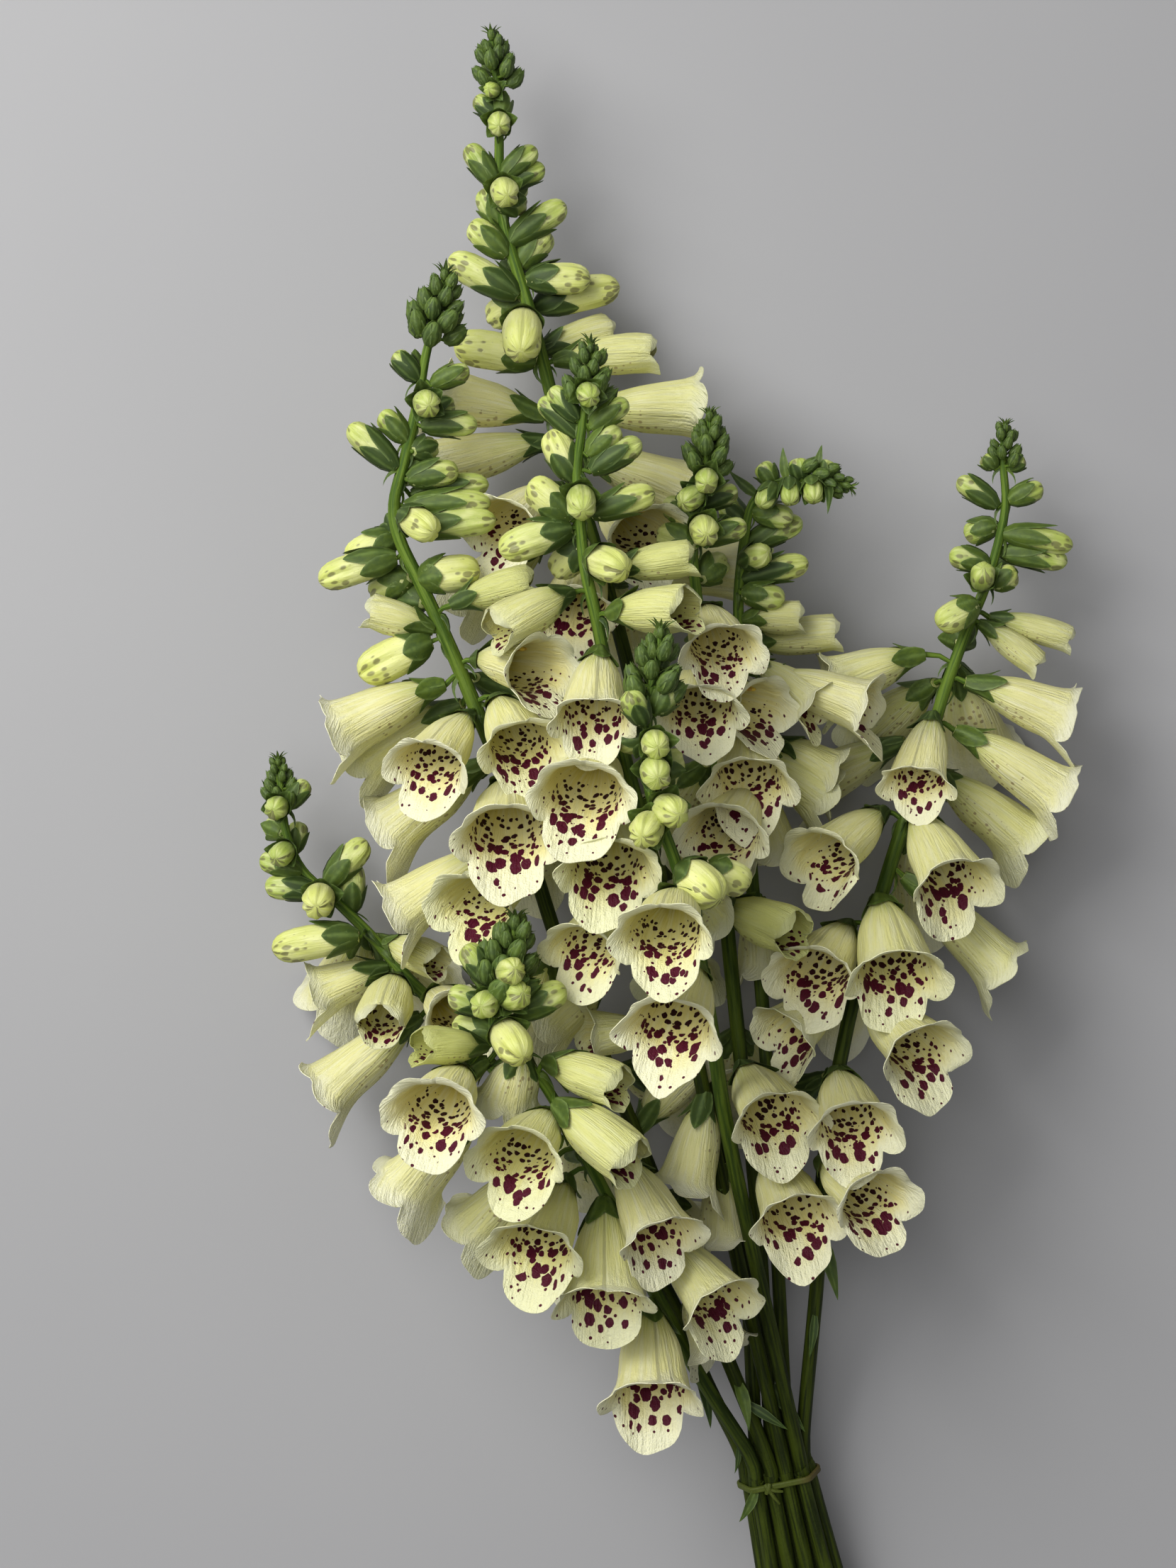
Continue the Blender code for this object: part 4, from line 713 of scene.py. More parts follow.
def back_flowers(spike, line):
    """Buds and bells on the side that faces the surface, spaced along the stem by a rule."""
    reading = line[:, :2] / ((EYE_HEIGHT - line[:, 2:]) / (EYE_HEIGHT - READ_HEIGHT))
    travelled = np.concatenate(([0.0], np.cumsum(np.linalg.norm(np.diff(line, axis=0), axis=1))))

    def along_at(row):
        return float(travelled[np.hypot(*(reading - np.array(row[:2])).T).argmin()])

    bell_zone = [along_at(row) for row in spike["bells"]]
    bud_end = min(bell_zone)
    found = []
    bud_start = spike["head"][2] * HEAD_LENGTH + BACK_MARGIN
    stops = [("bud", s) for s in np.arange(bud_start, bud_end - BACK_MARGIN / 2, BACK_BUD_PITCH)]
    stops += [("rear", s) for s in np.arange(bud_end + BACK_MARGIN / 2, max(bell_zone), BACK_BELL_PITCH)]
    for k, (kind, travel) in enumerate(stops):
        at = min(int(np.searchsorted(travelled, travel)), len(line) - 2)
        along = unit(line[at + 1] - line[at - 1])
        back = square_to(np.array((0.0, 0.0, -1.0)), along)
        turn = BACK_TURNS[k % len(BACK_TURNS)]
        out = math.cos(turn) * back + math.sin(turn) * np.cross(along, back)
        if kind == "rear":
            base = line[at] + out * CALYX_REACH
            mouth = base + unit(out + BACK_BELL_DROOP * along) * BELL_LENGTH * BACK_BELL_SIZE
            found.append((kind, line[at], base, mouth, BACK_BELL_SIZE))
            continue
        width = np.interp(travel / bud_end, (0.0, 1.0), BACK_BUD_WIDTHS)
        base = line[at] + out * (STALK_LEAST + STALK_SHARE * width)
        mouth = base + unit(out - BACK_BUD_RISE * along) * BUD_LENGTH * width
        found.append((kind, line[at], base, mouth, width / 2))
    return found


def swollen(points, faces, by):
    """The points pushed outwards, to test for a gap."""
    corners = points[faces]
    normals = np.zeros_like(points)
    facing = np.cross(corners[:, 1] - corners[:, 0], corners[:, 2] - corners[:, 0])
    for k in range(3):
        np.add.at(normals, faces[:, k], facing)
    return points + by * normals / np.maximum(np.linalg.norm(normals, axis=1), 1e-9)[:, None]


class Placed:
    """The solids placed so far, each with its node, its box and a tree of its faces."""

    def __init__(self):
        self.nodes = []
        self.trees = []
        self.stems = []
        self.boxes = np.zeros((0, 6))

    def add(self, node, points, faces, is_stem=False):
        self.nodes.append(node)
        self.trees.append(BVHTree.FromPolygons(points.tolist(), [tuple(f) for f in faces]))
        self.stems.append(is_stem)
        self.boxes = np.vstack((self.boxes, (*points.min(axis=0), *points.max(axis=0))))

    def crossings(self, node, points, faces):
        """How many solids of other spikes this one would meet, and how many flowers of its own."""
        points = swollen(points, np.array(faces), CLEARANCE)
        low, high = points.min(axis=0), points.max(axis=0)
        near = (self.boxes[:, :3] <= high).all(axis=1) & (self.boxes[:, 3:] >= low).all(axis=1)
        tree = None
        own = 0
        for k in np.flatnonzero(near):
            if self.nodes[k] == node and self.stems[k]:
                continue
            tree = tree or BVHTree.FromPolygons(points.tolist(), faces)
            if tree.overlap(self.trees[k]):
                if self.nodes[k] != node:
                    return 1, own
                own += 1
        return 0, own


def bends():
    """Ways to bend a flower clear, the least first: (calyx height, mouth height, sideways, size)."""
    found = []
    for lift in LIFTS:
        for tilt in TILTS:
            for aside in ASIDES:
                for size in SHRINKS:
                    cost = HEIGHT_COST * (abs(lift) + abs(tilt)) + ASIDE_COST * abs(aside)
                    cost += SHRINK_COST * (1.0 - size)
                    found.append((cost, lift, tilt, aside, size))
    return [row[1:] for row in sorted(found)[:MOST_BENDS]]


def bent(flower, bend):
    kind, root, base, mouth, size = flower
    lift, tilt, aside, shrink = bend
    flat = np.array((mouth[0] - base[0], mouth[1] - base[1], 0.0))
    side = np.array((1.0, 0.0, 0.0))
    if np.linalg.norm(flat) > UPRIGHT_REACH:
        side = unit(np.array((-flat[1], flat[0], 0.0)))
    base = base + np.array((0.0, 0.0, lift))
    mouth = mouth + np.array((0.0, 0.0, lift + tilt)) + side * aside
    reach = max(1.0, np.linalg.norm(mouth - base))
    wanted = min(reach, np.linalg.norm(flower[3] - flower[2])) * shrink
    return kind, root, base, base + (mouth - base) * wanted / reach, size * shrink


def layout():
    """{spike: (stem line, its flowers)}, with each flower bent clear of the other spikes or left out."""
    placed = Placed()
    lines = {}
    waiting = []
    for name, spike in SPIKES.items():
        lines[name] = stem_line(spike)
        placed.add(name, *stem_solid(lines[name]), is_stem=True)
        shown = flowers_of(spike, lines[name])
        waiting += [(ORDER[f[0]], -f[3][2], name, f, False) for f in shown]
        waiting += [(ORDER["tip"], 0.0, name, f, False) for f in tip_buds(spike, lines[name])]
        waiting += [(len(ORDER), 0.0, name, f, True) for f in back_flowers(spike, lines[name])]
    found = {name: (line, []) for name, line in lines.items()}
    ways = bends()
    for _, _, name, flower, spare in sorted(waiting, key=lambda row: row[:2]):
        best = None
        for way in ways:
            tried = bent(flower, way)
            points, faces = flower_solid(*tried)
            others, own = placed.crossings(name, points, faces)
            if others:
                continue
            if best is None or own < best[0]:
                best = (own, tried, points, faces)
            if own <= OWN_ALLOWED[flower[0]]:
                break
        if best is None or (spare and best[0]):
            continue
        placed.add(name, best[2], best[3])
        found[name][1].append(best[1])
    return found


# The finer shapes.
SHARP_ANGLE = math.radians(58.0)
AROUND = 60
TUBE_SHARES = (0.0, 0.04, 0.09, 0.15, 0.22, 0.30, 0.38, 0.47, 0.56, 0.66, 0.76, 0.86, 0.94, 1.0)
LIP_SHARES = (0.10, 0.24, 0.40, 0.56, 0.72, 0.86, 1.0)
THROAT_ROW = 3
PETAL = 0.3
# The tube's radius against the share of its length, for an open bell and for a half-open one.
OPEN_TUBE = ((0.0, 2.5), (0.07, 3.9), (0.14, 4.7), (0.22, 6.0), (0.32, 7.9), (0.42, 9.7), (0.55, 11.3),
             (0.70, 12.4), (0.85, 13.2), (0.94, 13.9), (1.0, 14.8))
HALF_TUBE = ((0.0, 2.5), (0.08, 4.2), (0.16, 5.4), (0.27, 7.2), (0.38, 8.8), (0.5, 10.0), (0.65, 10.7),
             (0.8, 10.9), (0.92, 10.6), (1.0, 10.2))
# The lobes: middle and half width in degrees, how far forward and outward each reaches, and how far its
# edge curls back. The lowest is the long lip. Between them are the notches.
OPEN_LOBES = ((0.0, 50.0, 14.0, 4.8, 0.0), (81.0, 37.0, 6.8, 4.0, 2.0), (147.0, 35.0, 3.0, 3.0, 1.2))
HALF_LOBES = ((0.0, 72.0, 8.0, 1.0, 0.0), (124.0, 52.0, 5.4, -1.8, 0.0))
# Each bell draws its own shares of forward, outward and curl between these, and its own point on the lip.
LOBE_LEAST = (0.88, 0.75, 0.5)
LOBE_MOST = (1.12, 1.3, 1.4)
LIP_POINT = (-1.0, 3.4)
OPEN_NOTCH = (1.0, 1.0)
HALF_NOTCH = (-2.2, -0.4)
OPEN_FLATNESS = 0.79
HALF_FLATNESS = 0.86
RUFFLE = 0.42
HALF_RUFFLE = 0.15
CRUMPLE = (0.30, 0.20)
BELLY = 0.12
TWIST = 0.16
# Waves round a bell: how many, and how high.
RIBS = ((8, 0.20), (13, 0.14))
RUFFLES = ((5, 1.0), (9, 0.8))
CRIMPS = 7
# A half-open flower's tone is raised by this, which tells the materials that it is one.
HALF_TONE = 1.2
PATTERN_RADIUS = 13.0
PATTERN_FLARE = 4.5
PATTERN_STEP = 97.3
# The anthers: share of the tube's length, and turn from its upper side.
ANTHERS = ((0.60, -0.28), (0.60, 0.28), (0.72, -0.12), (0.72, 0.14))
ANTHER_REACH = 5.8

BUD_AROUND = 44
BUD_PROFILE = ((0.0, 0.34), (0.09, 0.70), (0.2, 0.91), (0.36, 1.03), (0.54, 1.07), (0.70, 1.06),
               (0.82, 0.98), (0.90, 0.82), (0.955, 0.58), (0.985, 0.30))
BUD_PLEAT = 0.10
BUD_CREASE = 0.17
BUD_CRIMP = 0.035
# How much fuller a bud is than its half width, and how much of it its sepals cover, against its width.
BUD_FULLNESS = ((5.0, 1.28), (8.0, 1.2), (12.0, 1.06), (15.0, 1.0))
SEPAL_COVER = ((5.0, 0.86), (8.0, 0.68), (11.0, 0.5), (15.0, 0.4))
# How far a bud's sepals spread. Those of a bud that points up are shorter and spread further.
BUD_FLARE = 0.7
UPRIGHT_FLARE = 1.5
UPRIGHT_COVER = 0.32

SEPAL_SHAPE = ((0.0, 0.62), (0.2, 0.90), (0.45, 1.0), (0.68, 0.84), (0.86, 0.50), (0.95, 0.24))
SEPAL_ROWS = tuple(share for share, _ in SEPAL_SHAPE)
STEM_AROUND = 14
HEAD_LEAST = 12
TUFT = 8
BRACT_TURN = 0.9

# Small leaves left on the low stems: v of its root on the stem, (u, v) of its tip, and its width.
SCRAPS = {
    "spike_lower_front": ((-261, 56.0, -274, 5.0),),
    "spike_lower_left": ((-246, 55.0, -256, 2.8),),
    "spike_left": ((-227, 74.0, -240, 4.8),),
    "spike_right": ((-196, 81.5, -213, 4.2),),
}

KNOT_PLACE = (-5.0, 7.2)
KNOT_ENDS = ((8.0, 0.4), (6.0, 1.1))


class Sheets:
    """Collects grids of points into one mesh. A point has a place, for patterns, and a zone, for tones."""

    def __init__(self):
        self.points = []
        self.places = []
        self.zones = []
        self.faces = []
        self.looks = []
        self.count = 0

    def add_points(self, points, places, zones):
        points = np.asarray(points, float).reshape(-1, 3)
        self.points.append(points)
        self.places.append(np.broadcast_to(np.asarray(places, float).reshape(-1, 3), points.shape))
        self.zones.append(np.broadcast_to(np.asarray(zones, float).reshape(-1, 3), points.shape))
        first = self.count
        self.count += len(points)
        return first

    def add_faces(self, faces, look):
        self.faces += np.asarray(faces).tolist()
        self.looks += [look] * len(faces)

    def grid(self, points, places, zones, look):
        """Rows of points that close on themselves, joined in quads. Returns the first and the last row."""
        rows, columns = points.shape[:2]
        first = self.add_points(points, places, zones)
        index = first + np.arange(rows * columns).reshape(rows, columns)
        ahead = np.roll(index, -1, axis=1)
        quads = np.stack((index[:-1], ahead[:-1], ahead[1:], index[1:]), axis=-1)
        self.add_faces(quads.reshape(-1, 4), look)
        return index[0], index[-1]

    def join(self, first, second, look):
        ahead, beyond = np.roll(first, -1), np.roll(second, -1)
        self.add_faces(np.stack((first, ahead, beyond, second), axis=-1), look)

    def fan(self, ring, point, place, zone, look, before=False):
        """Closes a ring with triangles to a point."""
        apex = self.add_points(point, place, zone)
        ahead = np.roll(ring, -1)
        corners = (ahead, ring) if before else (ring, ahead)
        self.add_faces(np.stack((*corners, np.full(len(ring), apex)), axis=-1), look)

    def object(self, name, looks, shift):
        """The collected mesh as an object, in metres in the frame."""
        points = (np.concatenate(self.points) + shift) * MM
        mesh = bpy.data.meshes.new(name)
        mesh.from_pydata(points.tolist(), [], self.faces)
        for title, rows in (("place", self.places), ("zone", self.zones)):
            layer = mesh.attributes.new(title, "FLOAT_VECTOR", "POINT")
            layer.data.foreach_set("vector", np.concatenate(rows).astype(np.float32).ravel())
        for look in looks:
            mesh.materials.append(look)
        mesh.polygons.foreach_set("material_index", self.looks)
        mesh.shade_smooth()
        mesh.set_sharp_from_angle(angle=SHARP_ANGLE)
        made = bpy.data.objects.new(name, mesh)
        bpy.context.scene.collection.objects.link(made)
        return made


def table(rows, share):
    return np.interp(share, [r[0] for r in rows], [r[1] for r in rows])


def flower_axes(base, mouth, share):
    """The centre, the direction along, down and sideways at this share of a flower's line."""
    centre, along = flower_line(base, mouth, share)
    down = square_to(DOWN, along)
    return centre, along, down, np.cross(along, down)


def lobes(signed, rows, notch, draw):
    """How far forward and outward the lip reaches at each angle, and how far its edge curls back."""
    degrees = np.degrees(signed)
    shape = np.zeros((3, len(signed)))
    most = np.zeros(len(signed))
    for middle, half, *lobe in rows:
        for sign in ((1, -1) if middle else (1,)):
            own = np.array(lobe) * draw.uniform(LOBE_LEAST, LOBE_MOST)
            rise = np.sqrt(1.0 - np.clip(np.abs(degrees - sign * middle) / half, 0.0, 1.0) ** 2)
            higher = rise > most
            most = np.where(higher, rise, most)
            shape = np.where(higher, own[:, None] * rise, shape)
    point = draw.uniform(*LIP_POINT) if rows is OPEN_LOBES else 0.5
    forward = shape[0] + point * np.exp(-((degrees / 14.0) ** 2))
    return forward + notch[0], shape[1] + notch[1], shape[2]


def bell(sheets, flower, number, draw):
    """A bell or a half-open flower: a closed double wall with a lobed, ruffled lip."""
    kind, _, base, mouth, size = flower
    tube, lip, flatness, wavy = OPEN_TUBE, (OPEN_LOBES, OPEN_NOTCH), OPEN_FLATNESS, RUFFLE
    if kind == "half":
        tube, lip, flatness, wavy = HALF_TUBE, (HALF_LOBES, HALF_NOTCH), HALF_FLATNESS, HALF_RUFFLE
    angles = np.arange(AROUND) * 2 * math.pi / AROUND
    signed = (angles + math.pi) % (2 * math.pi) - math.pi
    twist = draw.uniform(-TWIST, TWIST)
    cos, sin = np.cos(angles + twist), np.sin(angles + twist)
    lowness = np.cos(angles)
    waves = [draw.uniform(0, 2 * math.pi) for _ in range(7)]
    ribs = sum(high * np.cos(count * angles + wave) for (count, high), wave in zip(RIBS, waves))
    ruffle = sum(high * np.sin(count * angles + wave) for (count, high), wave in zip(RUFFLES, waves[2:]))
    crimp = np.sin(CRIMPS * angles + waves[4])
    length = float(np.linalg.norm(mouth - base)) / max(size, 0.1)
    forward, outward, curl = lobes(signed, *lip, draw)
    tone = draw.uniform() + (HALF_TONE if kind == "half" else 0.0)
    rows, places, zones, flares = [], [], [], []
    for share in TUBE_SHARES:
        centre, along, down, side = flower_axes(base, mouth, share)
        radius = table(tube, share) * (1 + BELLY * lowness * math.sin(math.pi * share)) + ribs * share
        folds = CRUMPLE[0] * np.sin(3 * angles + 9 * share + waves[5])
        folds = folds + CRUMPLE[1] * np.sin(5 * angles - 14 * share + waves[6])
        radius = size * (radius + folds * share)
        flares.append(0.0)
        rows.append(centre + np.outer(radius * flatness * cos, down) + np.outer(radius * sin, side))
        places.append(np.full(AROUND, share * length))
        zones.append(np.full(AROUND, share))
    centre, along, down, side = flower_axes(base, mouth, 1.0)
    mouth_radius = table(tube, 1.0) + ribs + folds
    for q in LIP_SHARES:
        flare = outward * q**1.2 + wavy * q**2 * ruffle
        reach = size * (forward * q - curl * q**3 + 1.2 * wavy * q**2 * crimp)
        flares.append(PATTERN_FLARE * q)
        rows.append(centre + np.outer(size * (mouth_radius * flatness + flare) * cos, down)
                    + np.outer(size * (mouth_radius + flare) * sin, side) + np.outer(reach, along))
        places.append(length + forward * q)
        zones.append(np.full(AROUND, 1.0) + 0.3 * q)
    outer = np.array(rows)
    outer[..., 2] = np.maximum(outer[..., 2], 0.0)
    across = np.roll(outer, -1, axis=1) - np.roll(outer, 1, axis=1)
    normals = np.cross(across, np.gradient(outer, axis=0))
    normals /= np.maximum(np.linalg.norm(normals, axis=2, keepdims=True), 1e-9)
    outward_way = outer - outer.mean(axis=1, keepdims=True)
    if (normals[5] * outward_way[5]).sum() < 0:
        normals = -normals
    inner = (outer - PETAL * size * normals)[THROAT_ROW:][::-1]
    inner[..., 2] = np.maximum(inner[..., 2], PETAL)
    heights = np.array(places)
    place = np.stack((np.outer(PATTERN_RADIUS + np.array(flares), signed), heights + PATTERN_STEP * number,
                      np.full(heights.shape, float(number))), axis=-1)
    zone = np.stack((np.broadcast_to(lowness, heights.shape), np.array(zones),
                     np.full(heights.shape, tone)), axis=-1)
    start, edge = sheets.grid(outer, place, zone, 0)
    rim, throat = sheets.grid(inner, place[THROAT_ROW:][::-1], zone[THROAT_ROW:][::-1], 1)
    sheets.join(edge, rim, 1)
    sheets.fan(start, outer[0].mean(axis=0), place[0, 0], zone[0, 0], 0, before=True)
    sheets.fan(throat, inner[-1].mean(axis=0), place[0, 0], zone[0, 0], 1)
    if kind != "rear":
        stamens(sheets, flower, draw)


def stamens(sheets, flower, draw):
    """Four anthers under the upper side of the tube, each two small lobes, with their filaments."""
    _, _, base, mouth, size = flower
    for share, turn in ANTHERS:
        centre, along, down, side = flower_axes(base, mouth, share + draw.uniform(-0.02, 0.02))
        out = -math.cos(turn) * down + math.sin(turn) * side
        tip = centre + out * ANTHER_REACH * size
        for sign in (-1, 1):
            middle = tip + side * sign * 1.3 * size
            lump(sheets, middle, along * 1.1 * size, side * 1.7 * size, out * 0.9 * size, 2,
                 (0.0, share, draw.uniform()))
        start, _, low, flank = flower_axes(base, mouth, 0.24)
        rod(sheets, [start - low * 4.0 * size, (start - low * 5.5 * size + tip) / 2, tip],
            (0.5, 0.45, 0.4), 5, 1, (-1.0, 0.4, 0.5))


def lump(sheets, middle, first, second, third, look, zone):
    """A small rounded body."""
    rows = []
    for fall in (0.5, 1.1, 1.8, 2.6):
        ring = np.arange(8) * 2 * math.pi / 8
        rows.append(middle + math.cos(fall) * first
                    + math.sin(fall) * (np.outer(np.cos(ring), second) + np.outer(np.sin(ring), third)))
    points = np.array(rows)
    start, end = sheets.grid(points, middle, zone, look)
    sheets.fan(start, middle + first, middle, zone, look, before=True)
    sheets.fan(end, middle - first, middle, zone, look)


def rod(sheets, path, radii, sides, look, zone, caps=True):
    """A tapering tube along a path."""
    path = [np.asarray(p, float) for p in path]
    side = square_to(np.array((1.0, 0.2, 0.1)), unit(path[1] - path[0]))
    rows, heights, travelled = [], [], 0.0
    for i, (point, radius) in enumerate(zip(path, radii)):
        along = unit(path[min(i + 1, len(path) - 1)] - path[max(i - 1, 0)])
        side = square_to(side, along)
        rows.append(circle(point, side, np.cross(along, side), radius, sides))
        travelled += float(np.linalg.norm(point - path[max(i - 1, 0)]))
        heights.append(travelled)
    points = np.array(rows)
    points[..., 2] = np.maximum(points[..., 2], 0.0)
    turns = np.broadcast_to(np.arange(sides) * 2.0, points.shape[:2])
    places = np.stack((turns, np.broadcast_to(np.array(heights)[:, None], points.shape[:2]),
                       np.full(points.shape[:2], float(path[0].sum() % 50))), axis=-1)
    start, end = sheets.grid(points, places, zone, look)
    if caps:
        sheets.fan(start, points[0].mean(axis=0), places[0, 0], zone, look, before=True)
        sheets.fan(end, points[-1].mean(axis=0), places[-1, 0], zone, look)


def blade(sheets, path, normals, widths, thick, cup, look, tone, sides=4):
    """A sepal, a bract or a leaf: a thin lens-shaped section along a path that ends in a point."""
    across = np.linspace(-1, 1, sides // 2 + 1)
    section = np.concatenate((across, across[-2:0:-1]))
    upper = np.concatenate((np.ones(len(across)), -np.ones(len(across) - 2)))
    rows, marks = [], []
    for i, width in enumerate(widths):
        along = unit(path[min(i + 1, len(path) - 1)] - path[max(i - 1, 0)])
        normal = square_to(normals[i], along)
        side = np.cross(along, normal)
        rise = thick * upper * (1 - section**2) + cup[i] * section**2
        rows.append(path[i] + np.outer(section * width, side) + np.outer(rise, normal))
        marks.append(section * width)
    points = np.array(rows)
    points[..., 2] = np.maximum(points[..., 2], 0.0)
    shares = np.broadcast_to((np.arange(len(widths)) / len(widths))[:, None], points.shape[:2])
    number = float(path[0].sum() % 50)
    places = np.stack((np.array(marks), shares * 12.0, np.full(points.shape[:2], number)), axis=-1)
    zones = np.stack((np.broadcast_to(section, points.shape[:2]), shares,
                      np.full(points.shape[:2], tone)), axis=-1)
    start, end = sheets.grid(points, places, zones, look)
    sheets.fan(start, points[0].mean(axis=0), places[0, 0], zones[0, 0], look, before=True)
    tip = path[-1].copy()
    tip[2] = max(tip[2], 0.0)
    sheets.fan(end, tip, places[-1, 0], (0.0, 1.0, tone), look)


def calyx(sheets, base, mouth, length, radius_at, width, draw, flatness=1.0, flare=1.3):
    """Five overlapping sepals round the foot of a flower. radius_at gives the flower's radius there."""
    reach = float(np.linalg.norm(mouth - base))
    start_turn = draw.uniform(0, 2 * math.pi)
    tone = draw.uniform()
    for k in range(5):
        turn = start_turn + k * 2 * math.pi / 5 + draw.uniform(-0.12, 0.12)
        own = length * draw.uniform(0.85, 1.15)
        spread = flare * draw.uniform(0.3, 1.7)
        path, normals, widths, cups = [], [], [], []
        for share in (*SEPAL_ROWS, 1.0):
            at = share * own / reach
            centre, along, down, side = flower_axes(base, mouth, min(at, 1.2))
            out = math.cos(turn) * down * flatness + math.sin(turn) * side
            radius = max(1.0, radius_at(at) + 0.35 + 0.2 * (k % 2)) + spread * share**4
            path.append(centre + out * radius)
            normals.append(unit(math.cos(turn) * down + math.sin(turn) * side * flatness))
            half = width / 2 * table(SEPAL_SHAPE, share)
            widths.append(half)
            cups.append(-min(half, half**2 / (2 * radius)))
        blade(sheets, path, normals, widths[:-1], 0.22, cups[:-1], 0, tone, 8)


def bract(sheets, root, base, up, size, draw):
    """The narrow curling leaf under a flower's stalk, turned half towards the light."""
    out = unit(base - root)
    light = BRACT_TURN * np.array((0.0, 0.0, 1.0))
    swing = draw.uniform(-0.5, 0.5)
    side = np.cross(out, up)
    first = unit(out + 0.5 * up + swing * side)
    length = size * draw.uniform(0.8, 1.25)
    bend = draw.uniform(1.2, 2.6)
    path, normals = [root], []
    heading = 0.5
    steps = 6
    for k in range(steps):
        way = math.cos(heading) * first - math.sin(heading) * up
        normals.append(math.sin(heading) * first + math.cos(heading) * up + light)
        path.append(path[-1] + way * length / steps)
        heading += bend / steps
    normals.append(normals[-1])
    widths = [size * 0.095 * w for w in (0.8, 1.2, 1.2, 0.9, 0.55, 0.28)]
    blade(sheets, path, normals, widths, 0.3, [-0.3 * w for w in widths], 0, draw.uniform(), 4)


def stalk(sheets, root, base, along, radius):
    """The curved stalk from the stem to a flower."""
    middle = (root + base) / 2 - DOWN * 0.12 * float(np.linalg.norm(base - root))
    radii = (radius * 0.8, radius, radius * 1.15, radius * 1.5)
    rod(sheets, [root, middle, base - along * 0.4, base + along * 1.2], radii, 8, 1, (0.0, 0.0, 0.6))


def bud(sheets, greens, flower, number, draw):
    """A closed bud: a blunt, pleated body in its calyx."""
    _, root, base, mouth, half = flower
    width = half * 2
    half *= table(BUD_FULLNESS, width)
    span = mouth - base
    length = float(np.linalg.norm(span))
    angles = np.arange(BUD_AROUND) * 2 * math.pi / BUD_AROUND
    signed = (angles + math.pi) % (2 * math.pi) - math.pi
    turn = draw.uniform(0, 2 * math.pi)
    rows, shares = [], []
    for share, wide in BUD_PROFILE:
        centre, along, down, side = flower_axes(base, mouth, share)
        late = min(max((share - 0.3) / 0.5, 0.0), 1.0)
        pleat = BUD_PLEAT * np.abs(np.cos(2.5 * angles + turn)) ** 6
        crease = BUD_CREASE * np.exp(-(((np.abs(signed) - 1.15 - 0.5 * share) / 0.2) ** 2))
        crimp = BUD_CRIMP * np.sin(10 * angles + turn + 3.0 * share)
        radius = half * wide * (1 - late * (pleat + crease + crimp)) * (1 + 0.05 * np.cos(angles))
        rows.append(centre + np.outer(radius * np.cos(angles), down)
                    + np.outer(radius * np.sin(angles), side))
        shares.append(np.full(BUD_AROUND, share))
    points = np.array(rows)
    points[..., 2] = np.maximum(points[..., 2], 0.0)
    shares = np.array(shares)
    tone = np.clip((width - 5.0) / 9.0, 0, 1) + draw.uniform(-0.12, 0.12)
    place = np.stack((np.broadcast_to(signed * half, shares.shape), shares * length + PATTERN_STEP * number,
                      np.full(shares.shape, float(number))), axis=-1)
    zone = np.stack((np.broadcast_to(np.cos(angles), shares.shape), shares,
                     np.full(shares.shape, tone)), axis=-1)
    start, end = sheets.grid(points, place, zone, 0)
    sheets.fan(start, points[0].mean(axis=0), place[0, 0], zone[0, 0], 0, before=True)
    sheets.fan(end, mouth, place[-1, 0], (0.0, 1.0, tone), 0)
    upright = min(max((abs(float(unit(span)[2])) - 0.6) / 0.3, 0.0), 1.0)
    cover = table(SEPAL_COVER, width) * (1.0 - UPRIGHT_COVER * upright)
    calyx(greens, base, mouth, length * cover,
          lambda at: half * table(BUD_PROFILE, min(max(at, 0.0), 0.985)), half * 1.5, draw,
          flare=BUD_FLARE + UPRIGHT_FLARE * upright)


